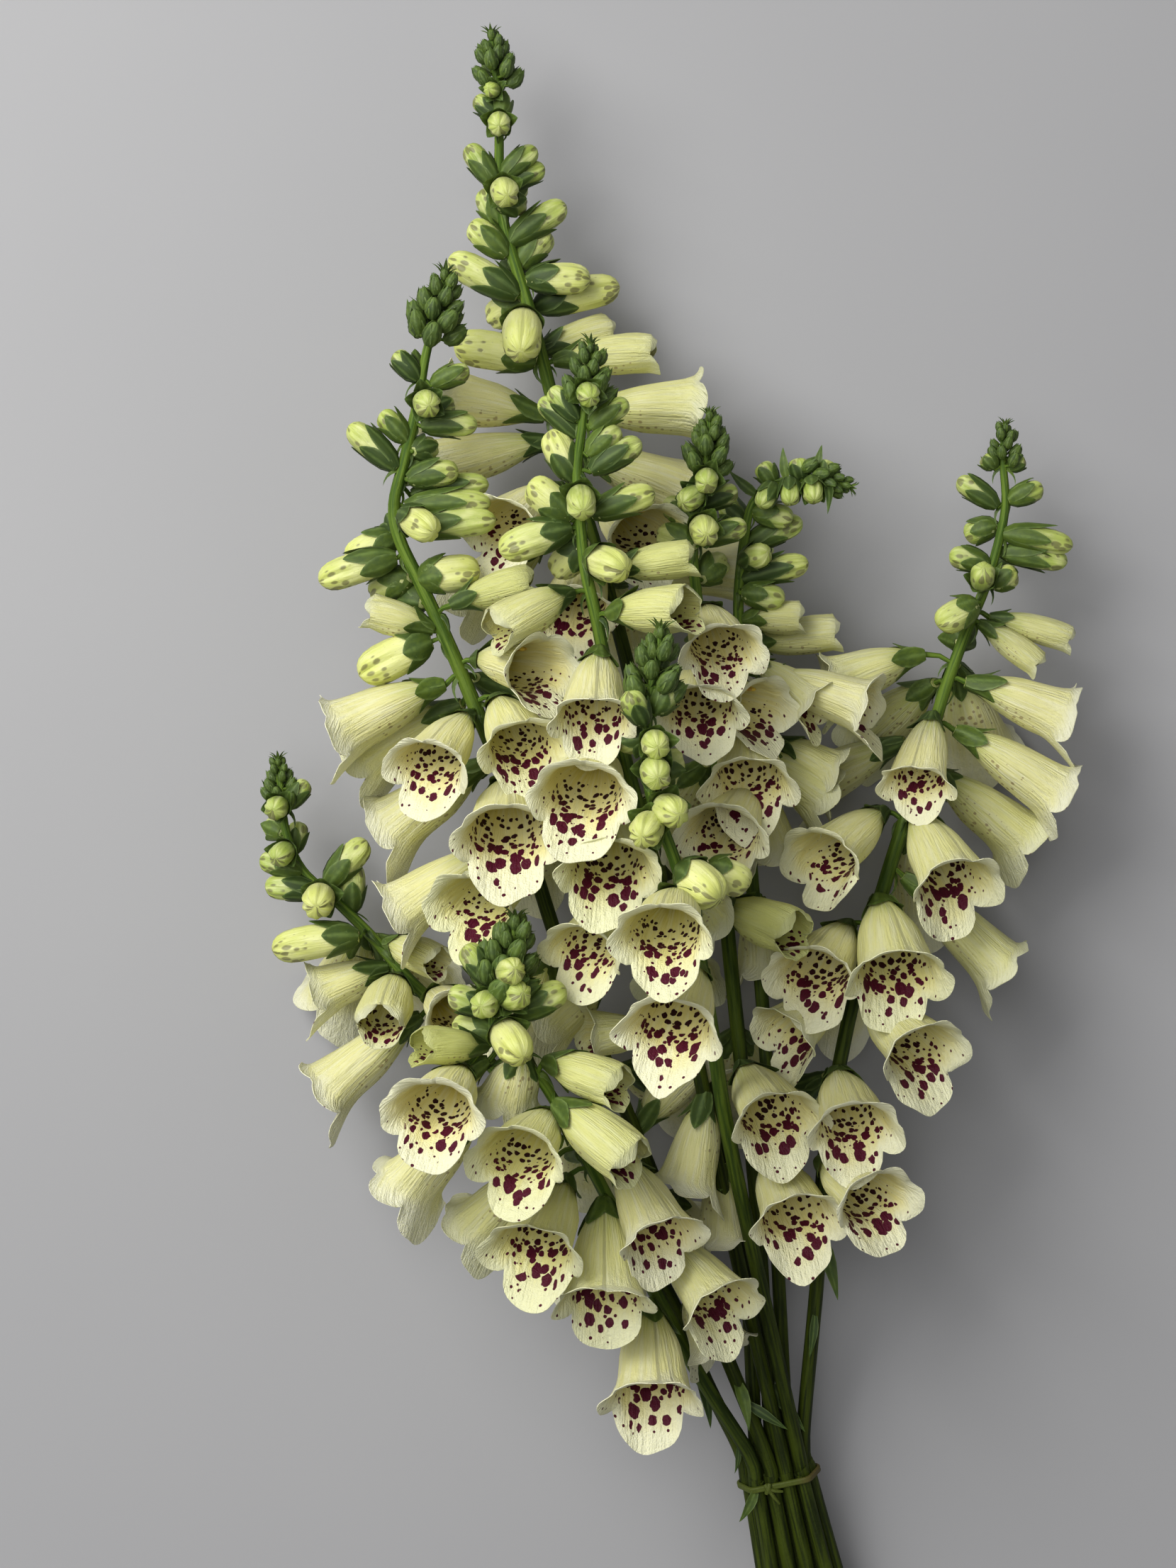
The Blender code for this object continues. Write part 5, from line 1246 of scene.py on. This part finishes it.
def head(greens, spike, line, draw):
    """The crowded tip of a spike: plump buds in their sepals, smaller towards a tuft of narrow leaves."""
    radius = spike["head"][2]
    travelled = np.concatenate(([0.0], np.cumsum(np.linalg.norm(np.diff(line, axis=0), axis=1))))
    count = int(HEAD_LEAST + radius)
    for k in range(count):
        share = (k + 0.5) / count
        at = int(np.searchsorted(travelled, share * radius * HEAD_LENGTH + 0.5))
        along = unit(line[max(at - 1, 0)] - line[at + 1])
        side = square_to(np.array((0.0, 0.0, 1.0)), along)
        out = math.cos(k * GOLDEN_ANGLE) * side + math.sin(k * GOLDEN_ANGLE) * np.cross(along, side)
        half = radius * (0.13 + 0.22 * share**0.6) * draw.uniform(0.85, 1.12)
        middle = line[at] + out * radius * (0.08 + 0.60 * share**0.55)
        way = unit(out * (0.3 + 0.5 * share) + along)
        low = square_to(out, way)
        flank = np.cross(way, low)
        lump(greens, middle + way * half * 1.15, way * half * 1.6, low * half, flank * half, 0,
             (0.0, 0.3, 0.5 + 0.5 * share))
        rod(greens, [line[at], middle], (0.7, 0.6), 5, 1, (0.0, 0.0, 0.4), caps=False)
        start = draw.uniform(0, 2 * math.pi)
        for s in range(5):
            turn = start + s * 2 * math.pi / 5
            face = math.cos(turn) * low + math.sin(turn) * flank
            spread = draw.uniform(0.15, 0.7)
            rises = ((0.6, -0.2), (1.04, 0.6), (1.08, 1.4), (0.82, 2.2), (spread, draw.uniform(2.7, 3.2)))
            path = [middle + (face * wide + way * far) * half for wide, far in rises]
            widths = [half * w for w in (0.62, 0.95, 0.82, 0.36)]
            cups = [-0.4 * w for w in widths]
            blade(greens, path, [face] * 5, widths, 0.2, cups, 0, draw.uniform(0.1, 0.9), 6)
        reach = half * draw.uniform(3.4, 4.6)
        head_leaf(greens, line[at] + out * radius * 0.05, way, out, along, reach, draw)
    for k in range(TUFT):
        out = math.cos(k * GOLDEN_ANGLE) * side + math.sin(k * GOLDEN_ANGLE) * np.cross(along, side)
        along = unit(line[0] - line[2])
        out = square_to(out, along)
        way = unit(along + out * (0.15 + 0.08 * k))
        head_leaf(greens, line[0] - along * 1.5, way, out, along, radius * draw.uniform(0.6, 0.85), draw)


def head_leaf(greens, root, way, out, along, reach, draw):
    """A narrow pointed leaf in the head of a spike."""
    path = [root]
    for turn in (0.1, 0.35, 0.65, 1.0):
        path.append(path[-1] + unit(math.cos(turn) * way + math.sin(turn) * out) * reach / 4)
    widths = [reach * w for w in (0.10, 0.13, 0.10, 0.05)]
    cups = [-0.3 * w for w in widths]
    blade(greens, path, [unit(along + 0.2 * way)] * 5, widths, 0.2, cups, 0, draw.uniform(), 4)


def fine_stem(greens, line, draw):
    """The ribbed stem, with a flat cut end."""
    travelled = np.concatenate(([0.0], np.cumsum(np.linalg.norm(np.diff(line, axis=0), axis=1))))
    side = square_to(np.array((1.0, 0.0, 0.0)), unit(line[1] - line[0]))
    angles = np.arange(STEM_AROUND) * 2 * math.pi / STEM_AROUND
    rows = []
    for i, point in enumerate(line):
        along = unit(line[min(i + 1, len(line) - 1)] - line[max(i - 1, 0)])
        side = square_to(side, along)
        radius = stem_radius(travelled[i]) * (1.0 + 0.05 * np.cos(4 * angles))
        rows.append(point + np.outer(radius * np.cos(angles), side)
                    + np.outer(radius * np.sin(angles), np.cross(along, side)))
    points = np.array(rows)
    points[..., 2] = np.maximum(points[..., 2], 0.0)
    marks = np.broadcast_to(np.cos(angles) * 3.0, points.shape[:2])
    tall = np.broadcast_to(travelled[:, None], points.shape[:2])
    number = draw.uniform(0, 50)
    places = np.stack((marks, tall, np.full(points.shape[:2], number)), axis=-1)
    # The zone's second number, the distance along the stem, sets where the painted shade of the low stems
    # begins.
    zones = np.stack((np.zeros(points.shape[:2]), tall / 400.0, np.full(points.shape[:2], 0.5)), axis=-1)
    start, end = greens.grid(points, places, zones, 1)
    greens.fan(start, line[0], places[0, 0], zones[0, 0], 1, before=True)
    greens.fan(end, line[-1], places[-1, 0], zones[-1, 0], 2)


def band_outline(offset):
    """A convex outline round the stems at the tie, this far from them."""
    places = [np.array((s["slot"][0] * TIE_ROW_PITCH, (s["slot"][1] - 0.5) * TIE_ROW_HEIGHT))
              for s in SPIKES.values()]
    outline = []
    for k in range(BAND_SIDES):
        angle = 2 * math.pi * k / BAND_SIDES
        way = np.array((math.cos(angle), math.sin(angle)))
        furthest = max(places, key=lambda place: float(place @ way))
        outline.append(furthest + way * (STEM_RADIUS + offset))
    return outline


def band_points():
    """The tie's rings, as the CAD part has them before it is centred."""
    along, across, up = tie_axes()
    centre = on_view(*TIE_CENTRE)
    rings = []
    for offset, shift in ((BAND_GAP, -0.5), (BAND_GAP + BAND_THICKNESS, -0.5),
                          (BAND_GAP + BAND_THICKNESS, 0.5), (BAND_GAP, 0.5)):
        rings.append([centre + across * x + up * y + along * BAND_WIDTH * shift
                      for x, y in band_outline(offset)])
    return np.array(rings)


def frame_shift():
    """How far the CAD part was moved to stand at the origin, from where its tie is."""
    low, high = (np.array(corner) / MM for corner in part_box("tie_band"))
    own = band_points().reshape(-1, 3)
    shift = (low + high) / 2 - (own.min(axis=0) + own.max(axis=0)) / 2
    return np.array((shift[0], shift[1], 0.0))


def tie(shift, look):
    """The tie: a band with slightly rolled edges, knotted on the upper side, with two short ends."""
    along, across, up = tie_axes()
    centre = on_view(*TIE_CENTRE)
    section = ((0.0, -0.5), (0.55, -0.5), (0.95, -0.38), (1.0, -0.2), (0.93, 0.0), (1.0, 0.2),
               (0.95, 0.38), (0.55, 0.5), (0.0, 0.5))
    rows = []
    for x, y in zip(np.array(band_outline(BAND_GAP)), np.array(band_outline(BAND_GAP + BAND_THICKNESS))):
        ring = []
        for out, wide in section:
            place = x + (y - x) * out
            ring.append(centre + across * place[0] + up * place[1] + along * BAND_WIDTH * wide)
        rows.append(ring)
    points = np.array(rows)
    sheets = Sheets()
    count, corners = points.shape[:2]
    zones = np.full(points.shape, 0.5)
    zones[..., 2] = np.array(band_outline(BAND_GAP))[:, :1]
    first = sheets.add_points(points, np.zeros(3), zones.reshape(-1, 3))
    for k in range(count):
        here = first + k * corners + np.arange(corners)
        there = first + (k + 1) % count * corners + np.arange(corners)
        sheets.join(here, there, 0)
    knot = centre + across * KNOT_PLACE[0] + up * KNOT_PLACE[1]
    for turn in (0.35, -0.5):
        way = math.cos(turn) * along + math.sin(turn) * across
        path = [knot - way * 2.2, knot + up * 0.6, knot + way * 2.2]
        rod(sheets, path, (0.8, 1.3, 0.8), 8, 0, (0.0, 0.5, 0.5))
    for reach, turn in KNOT_ENDS:
        way = math.cos(turn) * along + math.sin(turn) * across
        path = [knot, knot + way * reach * 0.5 + up * 0.5, knot + way * reach - up * 0.8]
        rod(sheets, path, (0.9, 0.8, 0.5), 6, 0, (0.0, 0.5, 0.5))
    return sheets.object("tie", [look], shift)


def dressed_spike(name, line, flowers, looks, shift, seed):
    """The petals, the buds and the greens of a spike."""
    draw = np.random.default_rng(seed)
    petals, buds, greens = Sheets(), Sheets(), Sheets()
    fine_stem(greens, line, draw)
    head(greens, SPIKES[name], line, draw)
    for k, flower in enumerate(flowers):
        kind, root, base, mouth, size = flower
        number = seed * 40 + k
        if kind == "tip":
            continue
        if kind == "leaf":
            leaf(greens, root, mouth, size, draw)
            continue
        along = flower_line(base, mouth, 0.0)[1]
        at = int(np.linalg.norm(line - root, axis=1).argmin())
        up = unit(line[max(at - 1, 0)] - line[min(at + 1, len(line) - 1)])
        if kind == "bud":
            bud(buds, greens, flower, number, draw)
            stalk(greens, root, base, along, 0.8)
            bract(greens, root, base, up, 7.5 + size, draw)
            continue
        bell(petals, flower, number, draw)
        tube, flatness = (HALF_TUBE, HALF_FLATNESS) if kind == "half" else (OPEN_TUBE, OPEN_FLATNESS)
        calyx(greens, base, mouth, 14.0 * size, lambda at, t=tube, s=size: s * table(t, max(at, 0.0)),
              8.6 * size, draw, flatness)
        stalk(greens, root, base, along, 1.0)
        bract(greens, root, base, up, 13.0, draw)
    for v0, u1, v1, width in SCRAPS.get(name, ()):
        near = int(np.abs(line[:, 1] - on_view(0.0, v0, TIE_CENTRE[2])[1]).argmin())
        root = line[near] + np.array((0.0, 0.0, 0.7 * STEM_RADIUS))
        leaf(greens, root, on_view(u1, v1, root[2]), width, draw)
    made = []
    for title, sheets, materials, slot in (("petals", petals, looks["petals"], "petals"),
                                           ("buds", buds, looks["buds"], "petals"),
                                           ("greens", greens, looks["greens"], "greens")):
        piece = sheets.object(f"{name}_{title}", materials, shift)
        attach(piece, "root")
        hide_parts(name)
        made.append(piece)
    return made


def leaf(greens, root, tip, width, draw):
    """A small leaf on the stem, folded along its middle, with a narrow bent tip."""
    along = unit(tip - root)
    side = square_to(np.array((along[1], -along[0], 0.2)), along)
    lift = np.cross(side, along)
    reach = float(np.linalg.norm(tip - root))
    bend = draw.uniform(-0.12, 0.12)
    shares = (0.0, 0.12, 0.28, 0.46, 0.64, 0.80, 0.92, 1.0)
    path = [root + reach * (along * s + lift * 0.48 * s * (1 - s) + side * bend * (s**2 - s * 0.4))
            for s in shares]
    widths = [width / 2 * w for w in (0.3, 0.62, 0.84, 0.8, 0.58, 0.34, 0.16)]
    blade(greens, path, [lift] * 8, widths, 0.3, [0.35 * w for w in widths], 0, draw.uniform(), 8)


class Look:
    """A material, and short ways to add nodes to it."""

    def __init__(self, name, **sockets):
        self.made = bpy.data.materials.new(name)
        self.made.use_nodes = True
        self.tree = self.made.node_tree
        self.shader = self.tree.nodes["Principled BSDF"]
        for socket, value in sockets.items():
            self.shader.inputs[socket.replace("_", " ")].default_value = value

    def put(self, socket, value):
        if hasattr(value, "is_output"):
            self.tree.links.new(value, socket)
        else:
            socket.default_value = value

    def node(self, kind, inputs=(), **settings):
        made = self.tree.nodes.new("ShaderNode" + kind)
        for key, value in settings.items():
            setattr(made, key, value)
        for key, value in dict(inputs).items():
            self.put(made.inputs[key], value)
        return made

    def math(self, operation, *values):
        return self.node("Math", enumerate(values), operation=operation).outputs[0]

    def smooth(self, value, low, high, start=0.0, end=1.0):
        made = self.node("MapRange", interpolation_type="SMOOTHSTEP")
        names = ("Value", "From Min", "From Max", "To Min", "To Max")
        for key, item in zip(names, (value, low, high, start, end)):
            self.put(made.inputs[key], item)
        return made.outputs[0]

    def mix(self, share, first, second):
        made = self.node("Mix", data_type="RGBA")
        for key, item in ((0, share), (6, first), (7, second)):
            self.put(made.inputs[key], item if hasattr(item, "is_output") or key == 0 else (*item, 1.0))
        return made.outputs[2]

    def field(self, name):
        """A point attribute as a vector, and its three numbers."""
        vector = self.node("Attribute", attribute_name=name).outputs["Vector"]
        parts = self.node("SeparateXYZ", {0: vector}).outputs
        return vector, parts

    def noise(self, vector, scale, detail=3.0):
        return self.node("TexNoise", {"Vector": vector, "Scale": scale, "Detail": detail}).outputs["Fac"]

    def stretched(self, vector, factors):
        return self.node("VectorMath", {0: vector, 1: factors}, operation="MULTIPLY").outputs[0]

    def bump(self, height, strength, distance):
        made = self.node("Bump", {"Height": height, "Strength": strength, "Distance": distance})
        self.put(self.shader.inputs["Normal"], made.outputs[0])

    def spots(self, vector, cell, radius, chance, edge=0.18):
        """1 inside round spots: cell is their spacing and radius their largest radius, in millimetres."""
        made = self.node("TexVoronoi", {"Vector": vector, "Scale": 1.0 / cell, "Randomness": 0.95},
                         voronoi_dimensions="2D")
        draws = self.node("SeparateColor", {0: made.outputs["Color"]}).outputs
        far = self.math("MULTIPLY", made.outputs["Distance"], cell)
        own = self.smooth(draws[0], 0.0, 1.0, 0.55, 1.0)
        kept = self.math("LESS_THAN", draws[1], chance)
        limit = self.math("MULTIPLY", self.math("MULTIPLY", radius, own), kept)
        inside = self.math("SUBTRACT", limit, far)
        return self.smooth(inside, -edge * 0.5, edge * 0.5)


def srgb(red, green, blue):
    """A colour given as on a screen, 0 to 255, as the linear numbers that a material takes."""
    return tuple((v / 255 / 12.92) if v / 255 <= 0.04045 else ((v / 255 + 0.055) / 1.055) ** 2.4
                 for v in (red, green, blue))


MAROON = srgb(74, 4, 32)
# The spots deep in the throat: partly their own deeper maroon, partly painted shade of the deep throat.
THROAT_MAROON_AND_SHADE = srgb(42, 6, 20)
CREAM = srgb(224, 220, 148)
PALE = srgb(230, 229, 194)
THROAT = srgb(214, 200, 98)
LIME = srgb(190, 198, 96)
HALF_LIME = srgb(196, 202, 108)


def petal_base(look, share, tone, near, far):
    """The petal's own colour: greener at its foot, cream along the tube, paler towards the lip."""
    place, _ = look.field("place")
    streaks = look.noise(look.stretched(place, (0.5, 0.045, 1.0)), 1.0)
    patches = look.noise(look.stretched(place, (0.09, 0.07, 1.0)), 1.0)
    along = look.math("ADD", share, look.math("MULTIPLY", look.math("SUBTRACT", patches, 0.5), 0.5))
    base = look.mix(look.smooth(along, 0.05, 0.6), near, far)
    base = look.mix(look.smooth(along, 0.86, 1.26), base, PALE)
    base = look.mix(look.math("MULTIPLY", look.smooth(streaks, 0.42, 0.68), 0.45), base, PALE)
    base = look.mix(look.math("MULTIPLY", look.smooth(tone, 0.35, 1.0), 0.22), base, LIME)
    return look.mix(look.math("MULTIPLY", look.smooth(tone, 1.4, 2.0), 0.75), base, HALF_LIME)


def petal_grain(look, share):
    """Lengthwise veins, and the crinkles and the fuzz of the lip."""
    place, _ = look.field("place")
    veins = look.noise(look.stretched(place, (1.1, 0.09, 1.0)), 1.0, 2.0)
    crinkles = look.noise(look.stretched(place, (0.55, 0.32, 1.0)), 1.0, 2.0)
    fuzz = look.math("MULTIPLY", look.noise(place, 1.9, 2.0), 0.5)
    lip = look.math("MULTIPLY", look.math("ADD", crinkles, fuzz), look.smooth(share, 0.7, 1.1, 0.15, 1.3))
    return look.math("ADD", veins, lip)


def petal_outside():
    look = Look("petal_outside", Roughness=0.55, Subsurface_Weight=0.25, Subsurface_Scale=0.004,
                Subsurface_Radius=(1.0, 0.95, 0.5), Specular_IOR_Level=0.35)
    place, _ = look.field("place")
    _, (low, share, tone) = look.field("zone")
    base = petal_base(look, share, tone, srgb(178, 186, 94), CREAM)
    zone = look.math("MULTIPLY", look.smooth(low, 0.25, 0.75), look.smooth(share, 1.0, 0.6))
    zone = look.math("MULTIPLY", zone, look.smooth(share, 0.25, 0.45))
    dots = look.spots(place, 3.3, look.math("MULTIPLY", zone, 1.0), 0.6, 0.5)
    base = look.mix(look.math("MULTIPLY", dots, 0.6), base, srgb(108, 66, 50))
    look.put(look.shader.inputs["Base Color"], base)
    look.bump(petal_grain(look, share), 0.7, 0.001)
    return look.made


def petal_inside():
    look = Look("petal_inside", Roughness=0.55, Subsurface_Weight=0.1, Subsurface_Scale=0.001,
                Subsurface_Radius=(1.0, 0.95, 0.5), Specular_IOR_Level=0.25)
    place, _ = look.field("place")
    _, (low, share, tone) = look.field("zone")
    base = petal_base(look, share, tone, THROAT, srgb(226, 217, 148))
    sway = look.node("TexNoise", {"Vector": place, "Scale": 0.45, "Detail": 1.5}).outputs["Color"]
    sway = look.node("VectorMath", {0: sway, 1: (0.5, 0.5, 0.5)}, operation="SUBTRACT").outputs[0]
    sway = look.stretched(sway, (1.7, 1.7, 0.0))
    moved = look.node("VectorMath", {0: place, 1: sway}, operation="ADD").outputs[0]
    throat_zone = look.math("MULTIPLY", look.smooth(low, 0.1, 0.5), look.smooth(share, 0.34, 0.48))
    throat_zone = look.math("MULTIPLY", throat_zone, look.smooth(share, 1.06, 0.9))
    throat = look.spots(look.stretched(moved, (1.0, 0.85, 1.0)), 3.3,
                        look.math("MULTIPLY", throat_zone, 1.35), 0.86)
    middle = look.math("MULTIPLY", look.smooth(low, 0.5, 0.78), look.smooth(share, 0.66, 0.9))
    middle = look.math("MULTIPLY", middle, look.smooth(share, 1.24, 1.10))
    blotches = look.spots(look.stretched(moved, (1.0, 0.74, 1.0)), 4.5,
                          look.math("MULTIPLY", middle, 2.3), 0.84)
    wide = look.math("MULTIPLY", look.smooth(low, -0.3, 0.2), look.smooth(share, 0.5, 0.7))
    freckles = look.spots(place, 4.2, look.math("MULTIPLY", wide, 0.62), 0.5)
    marks = look.math("MAXIMUM", throat, look.math("MAXIMUM", blotches, freckles))
    # The spots darken towards the throat: their own deeper maroon, with painted shade of the throat added.
    ink = look.mix(look.smooth(share, 0.6, 0.95), THROAT_MAROON_AND_SHADE, MAROON)
    base = look.mix(marks, base, ink)
    look.put(look.shader.inputs["Base Color"], base)
    look.bump(petal_grain(look, share), 0.7, 0.001)
    return look.made


def bud_skin():
    look = Look("bud_skin", Roughness=0.5, Subsurface_Weight=0.25, Subsurface_Scale=0.004,
                Subsurface_Radius=(0.9, 0.9, 0.35))
    place, _ = look.field("place")
    _, (low, share, tone) = look.field("zone")
    young = look.mix(look.smooth(share, 0.3, 0.95), srgb(112, 136, 50), srgb(158, 176, 80))
    grown = look.mix(look.smooth(share, 0.25, 0.9), srgb(212, 214, 140), srgb(200, 206, 114))
    base = look.mix(look.smooth(tone, 0.05, 0.85), young, grown)
    patches = look.noise(look.stretched(place, (0.35, 0.12, 1.0)), 1.0)
    base = look.mix(look.math("MULTIPLY", look.smooth(patches, 0.4, 0.7), 0.45), base, srgb(220, 221, 164))
    zone = look.math("MULTIPLY", look.smooth(share, 0.52, 0.74), look.smooth(low, -0.9, 0.1))
    dots = look.spots(look.stretched(place, (1.0, 0.6, 1.0)), 2.7,
                      look.math("MULTIPLY", zone, 1.35), 0.66, 0.6)
    base = look.mix(look.math("MULTIPLY", dots, 0.68), base, srgb(86, 78, 54))
    look.put(look.shader.inputs["Base Color"], base)
    veins = look.noise(look.stretched(place, (1.1, 0.12, 1.0)), 1.0, 2.0)
    look.bump(veins, 0.6, 0.0006)
    return look.made


def leaf_green():
    look = Look("leaf_green", Roughness=0.6, Specular_IOR_Level=0.35)
    place, _ = look.field("place")
    _, (section, share, tone) = look.field("zone")
    base = look.mix(tone, srgb(44, 62, 16), srgb(84, 104, 32))
    base = look.mix(look.smooth(share, 0.55, 1.0), base, srgb(78, 102, 36))
    # Paler midrib and edges: partly the blades' own pale veins and edges, partly painted highlight.
    off = look.math("ABSOLUTE", section)
    base = look.mix(look.smooth(off, 0.35, 0.0, 0.0, 0.35), base, srgb(124, 148, 80))
    base = look.mix(look.smooth(off, 0.72, 1.0, 0.0, 0.4), base, srgb(134, 156, 92))
    patches = look.noise(place, 0.6)
    base = look.mix(look.math("MULTIPLY", look.smooth(patches, 0.35, 0.7), 0.5), base, srgb(44, 66, 30))
    look.put(look.shader.inputs["Base Color"], base)
    look.bump(look.noise(look.stretched(place, (2.0, 0.5, 1.0)), 1.0), 0.2, 0.0004)
    return look.made


def stem_green():
    look = Look("stem_green", Roughness=0.65, Specular_IOR_Level=0.2)
    place, _ = look.field("place")
    _, (_, share, tone) = look.field("zone")
    streaks = look.noise(look.stretched(place, (0.8, 0.04, 1.0)), 1.0)
    upper = look.mix(look.smooth(streaks, 0.35, 0.65), srgb(58, 84, 22), srgb(98, 122, 40))
    # Painted shade: the low stems, towards the cut ends, are coloured darker, as if they lay in shadow.
    shaded_lower = look.mix(look.smooth(streaks, 0.35, 0.65), srgb(26, 36, 2), srgb(58, 70, 8))
    base = look.mix(look.smooth(share, 0.2, 0.75), upper, shaded_lower)
    look.put(look.shader.inputs["Base Color"], base)
    ridges = look.noise(look.stretched(place, (1.6, 0.10, 1.0)), 1.0)
    grain = look.math("ADD", ridges, look.noise(place, 0.5))
    look.bump(grain, 0.5, 0.0005)
    return look.made


def cut_end():
    look = Look("cut_end", Roughness=0.7)
    place, _ = look.field("place")
    base = look.mix(look.noise(place, 1.2), srgb(176, 186, 128), srgb(214, 216, 170))
    look.put(look.shader.inputs["Base Color"], base)
    return look.made


def anther():
    look = Look("anther", Roughness=0.6)
    place, _ = look.field("place")
    base = look.mix(look.smooth(look.noise(place, 0.9), 0.45, 0.6), srgb(214, 184, 66), srgb(150, 104, 52))
    look.put(look.shader.inputs["Base Color"], base)
    return look.made


def tie_olive():
    look = Look("tie_olive", Roughness=0.6, Specular_IOR_Level=0.3)
    where = look.node("NewGeometry").outputs["Position"]
    base = look.mix(look.noise(where, 900.0), srgb(62, 74, 12), srgb(90, 100, 36))
    _, (_, _, across) = look.field("zone")
    base = look.mix(look.smooth(across, 5.0, 13.0, 0.0, 0.8), base, srgb(84, 70, 38))
    look.put(look.shader.inputs["Base Color"], base)
    look.bump(look.noise(look.stretched(where, (300.0, 3000.0, 3000.0)), 1.0), 0.3, 0.0003)
    return look.made


def floor_grey():
    look = Look("floor_grey", Roughness=0.85)
    where = look.node("NewGeometry").outputs["Position"]
    base = look.mix(look.noise(where, 2.5), srgb(154, 154, 157), srgb(164, 164, 166))
    look.put(look.shader.inputs["Base Color"], base)
    return look.made


# The photograph's view, straight down at the bunch, and the studio.
PHOTO_HEIGHT_PIXELS = 2212
PIXELS_PER_MM = 3.8
SENSOR_HEIGHT = 24.0
FLOOR_SIZE = 6.0
LIGHTS = (
    ("key", (-0.8, 0.7, 1.1), 0.9, 21.5, (1.0, 0.99, 0.96)),
    ("fill", (1.3, -0.2, 1.2), 1.6, 1.5, (1.0, 1.0, 1.0)),
    ("top", (-0.5, 0.2, 2.0), 1.2, 15.5, (1.0, 1.0, 0.99)),
)
WORLD_STRENGTH = 0.17


def set_stage(shift):
    mesh = bpy.data.meshes.new("floor")
    far = FLOOR_SIZE / 2
    mesh.from_pydata([(-far, -far, 0), (far, -far, 0), (far, far, 0), (-far, far, 0)], [], [(0, 1, 2, 3)])
    mesh.materials.append(floor_grey())
    floor = bpy.data.objects.new("floor", mesh)
    floor.location.z = -0.0004
    bpy.context.scene.collection.objects.link(floor)
    for name, place, size, power, colour in LIGHTS:
        light = bpy.data.lights.new(name, "AREA")
        light.size = size
        light.energy = power
        light.color = colour
        lamp = bpy.data.objects.new(name, light)
        lamp.location = place
        lamp.rotation_euler = (Vector((0.0, 0.0, 0.08)) - lamp.location).to_track_quat("-Z", "Y").to_euler()
        bpy.context.scene.collection.objects.link(lamp)
    bpy.context.scene.view_settings.view_transform = "Standard"
    world = bpy.data.worlds.new("studio")
    world.use_nodes = True
    world.node_tree.nodes["Background"].inputs["Color"].default_value = (0.98, 0.98, 1.0, 1.0)
    world.node_tree.nodes["Background"].inputs["Strength"].default_value = WORLD_STRENGTH
    bpy.context.scene.world = world
    camera = bpy.data.cameras.new("photo_view")
    camera.sensor_fit = "VERTICAL"
    camera.sensor_height = SENSOR_HEIGHT
    camera.sensor_width = SENSOR_HEIGHT
    camera.lens = SENSOR_HEIGHT * (EYE_HEIGHT - READ_HEIGHT) / (PHOTO_HEIGHT_PIXELS / PIXELS_PER_MM)
    camera.clip_end = 20.0
    eye = bpy.data.objects.new("photo_view", camera)
    eye.location = (shift[0] * MM, shift[1] * MM, EYE_HEIGHT * MM)
    bpy.context.scene.collection.objects.link(eye)
    bpy.context.scene.camera = eye


def dress():
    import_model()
    shift = frame_shift()
    looks = {
        "petals": [petal_outside(), petal_inside(), anther()],
        "buds": [bud_skin()],
        "greens": [leaf_green(), stem_green(), cut_end()],
    }
    for seed, (name, (line, flowers)) in enumerate(layout().items()):
        dressed_spike(name, line, flowers, looks, shift, seed)
    band = tie(shift, tie_olive())
    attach(band, "root")
    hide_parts("tie_band")
    set_stage(shift)


dress()
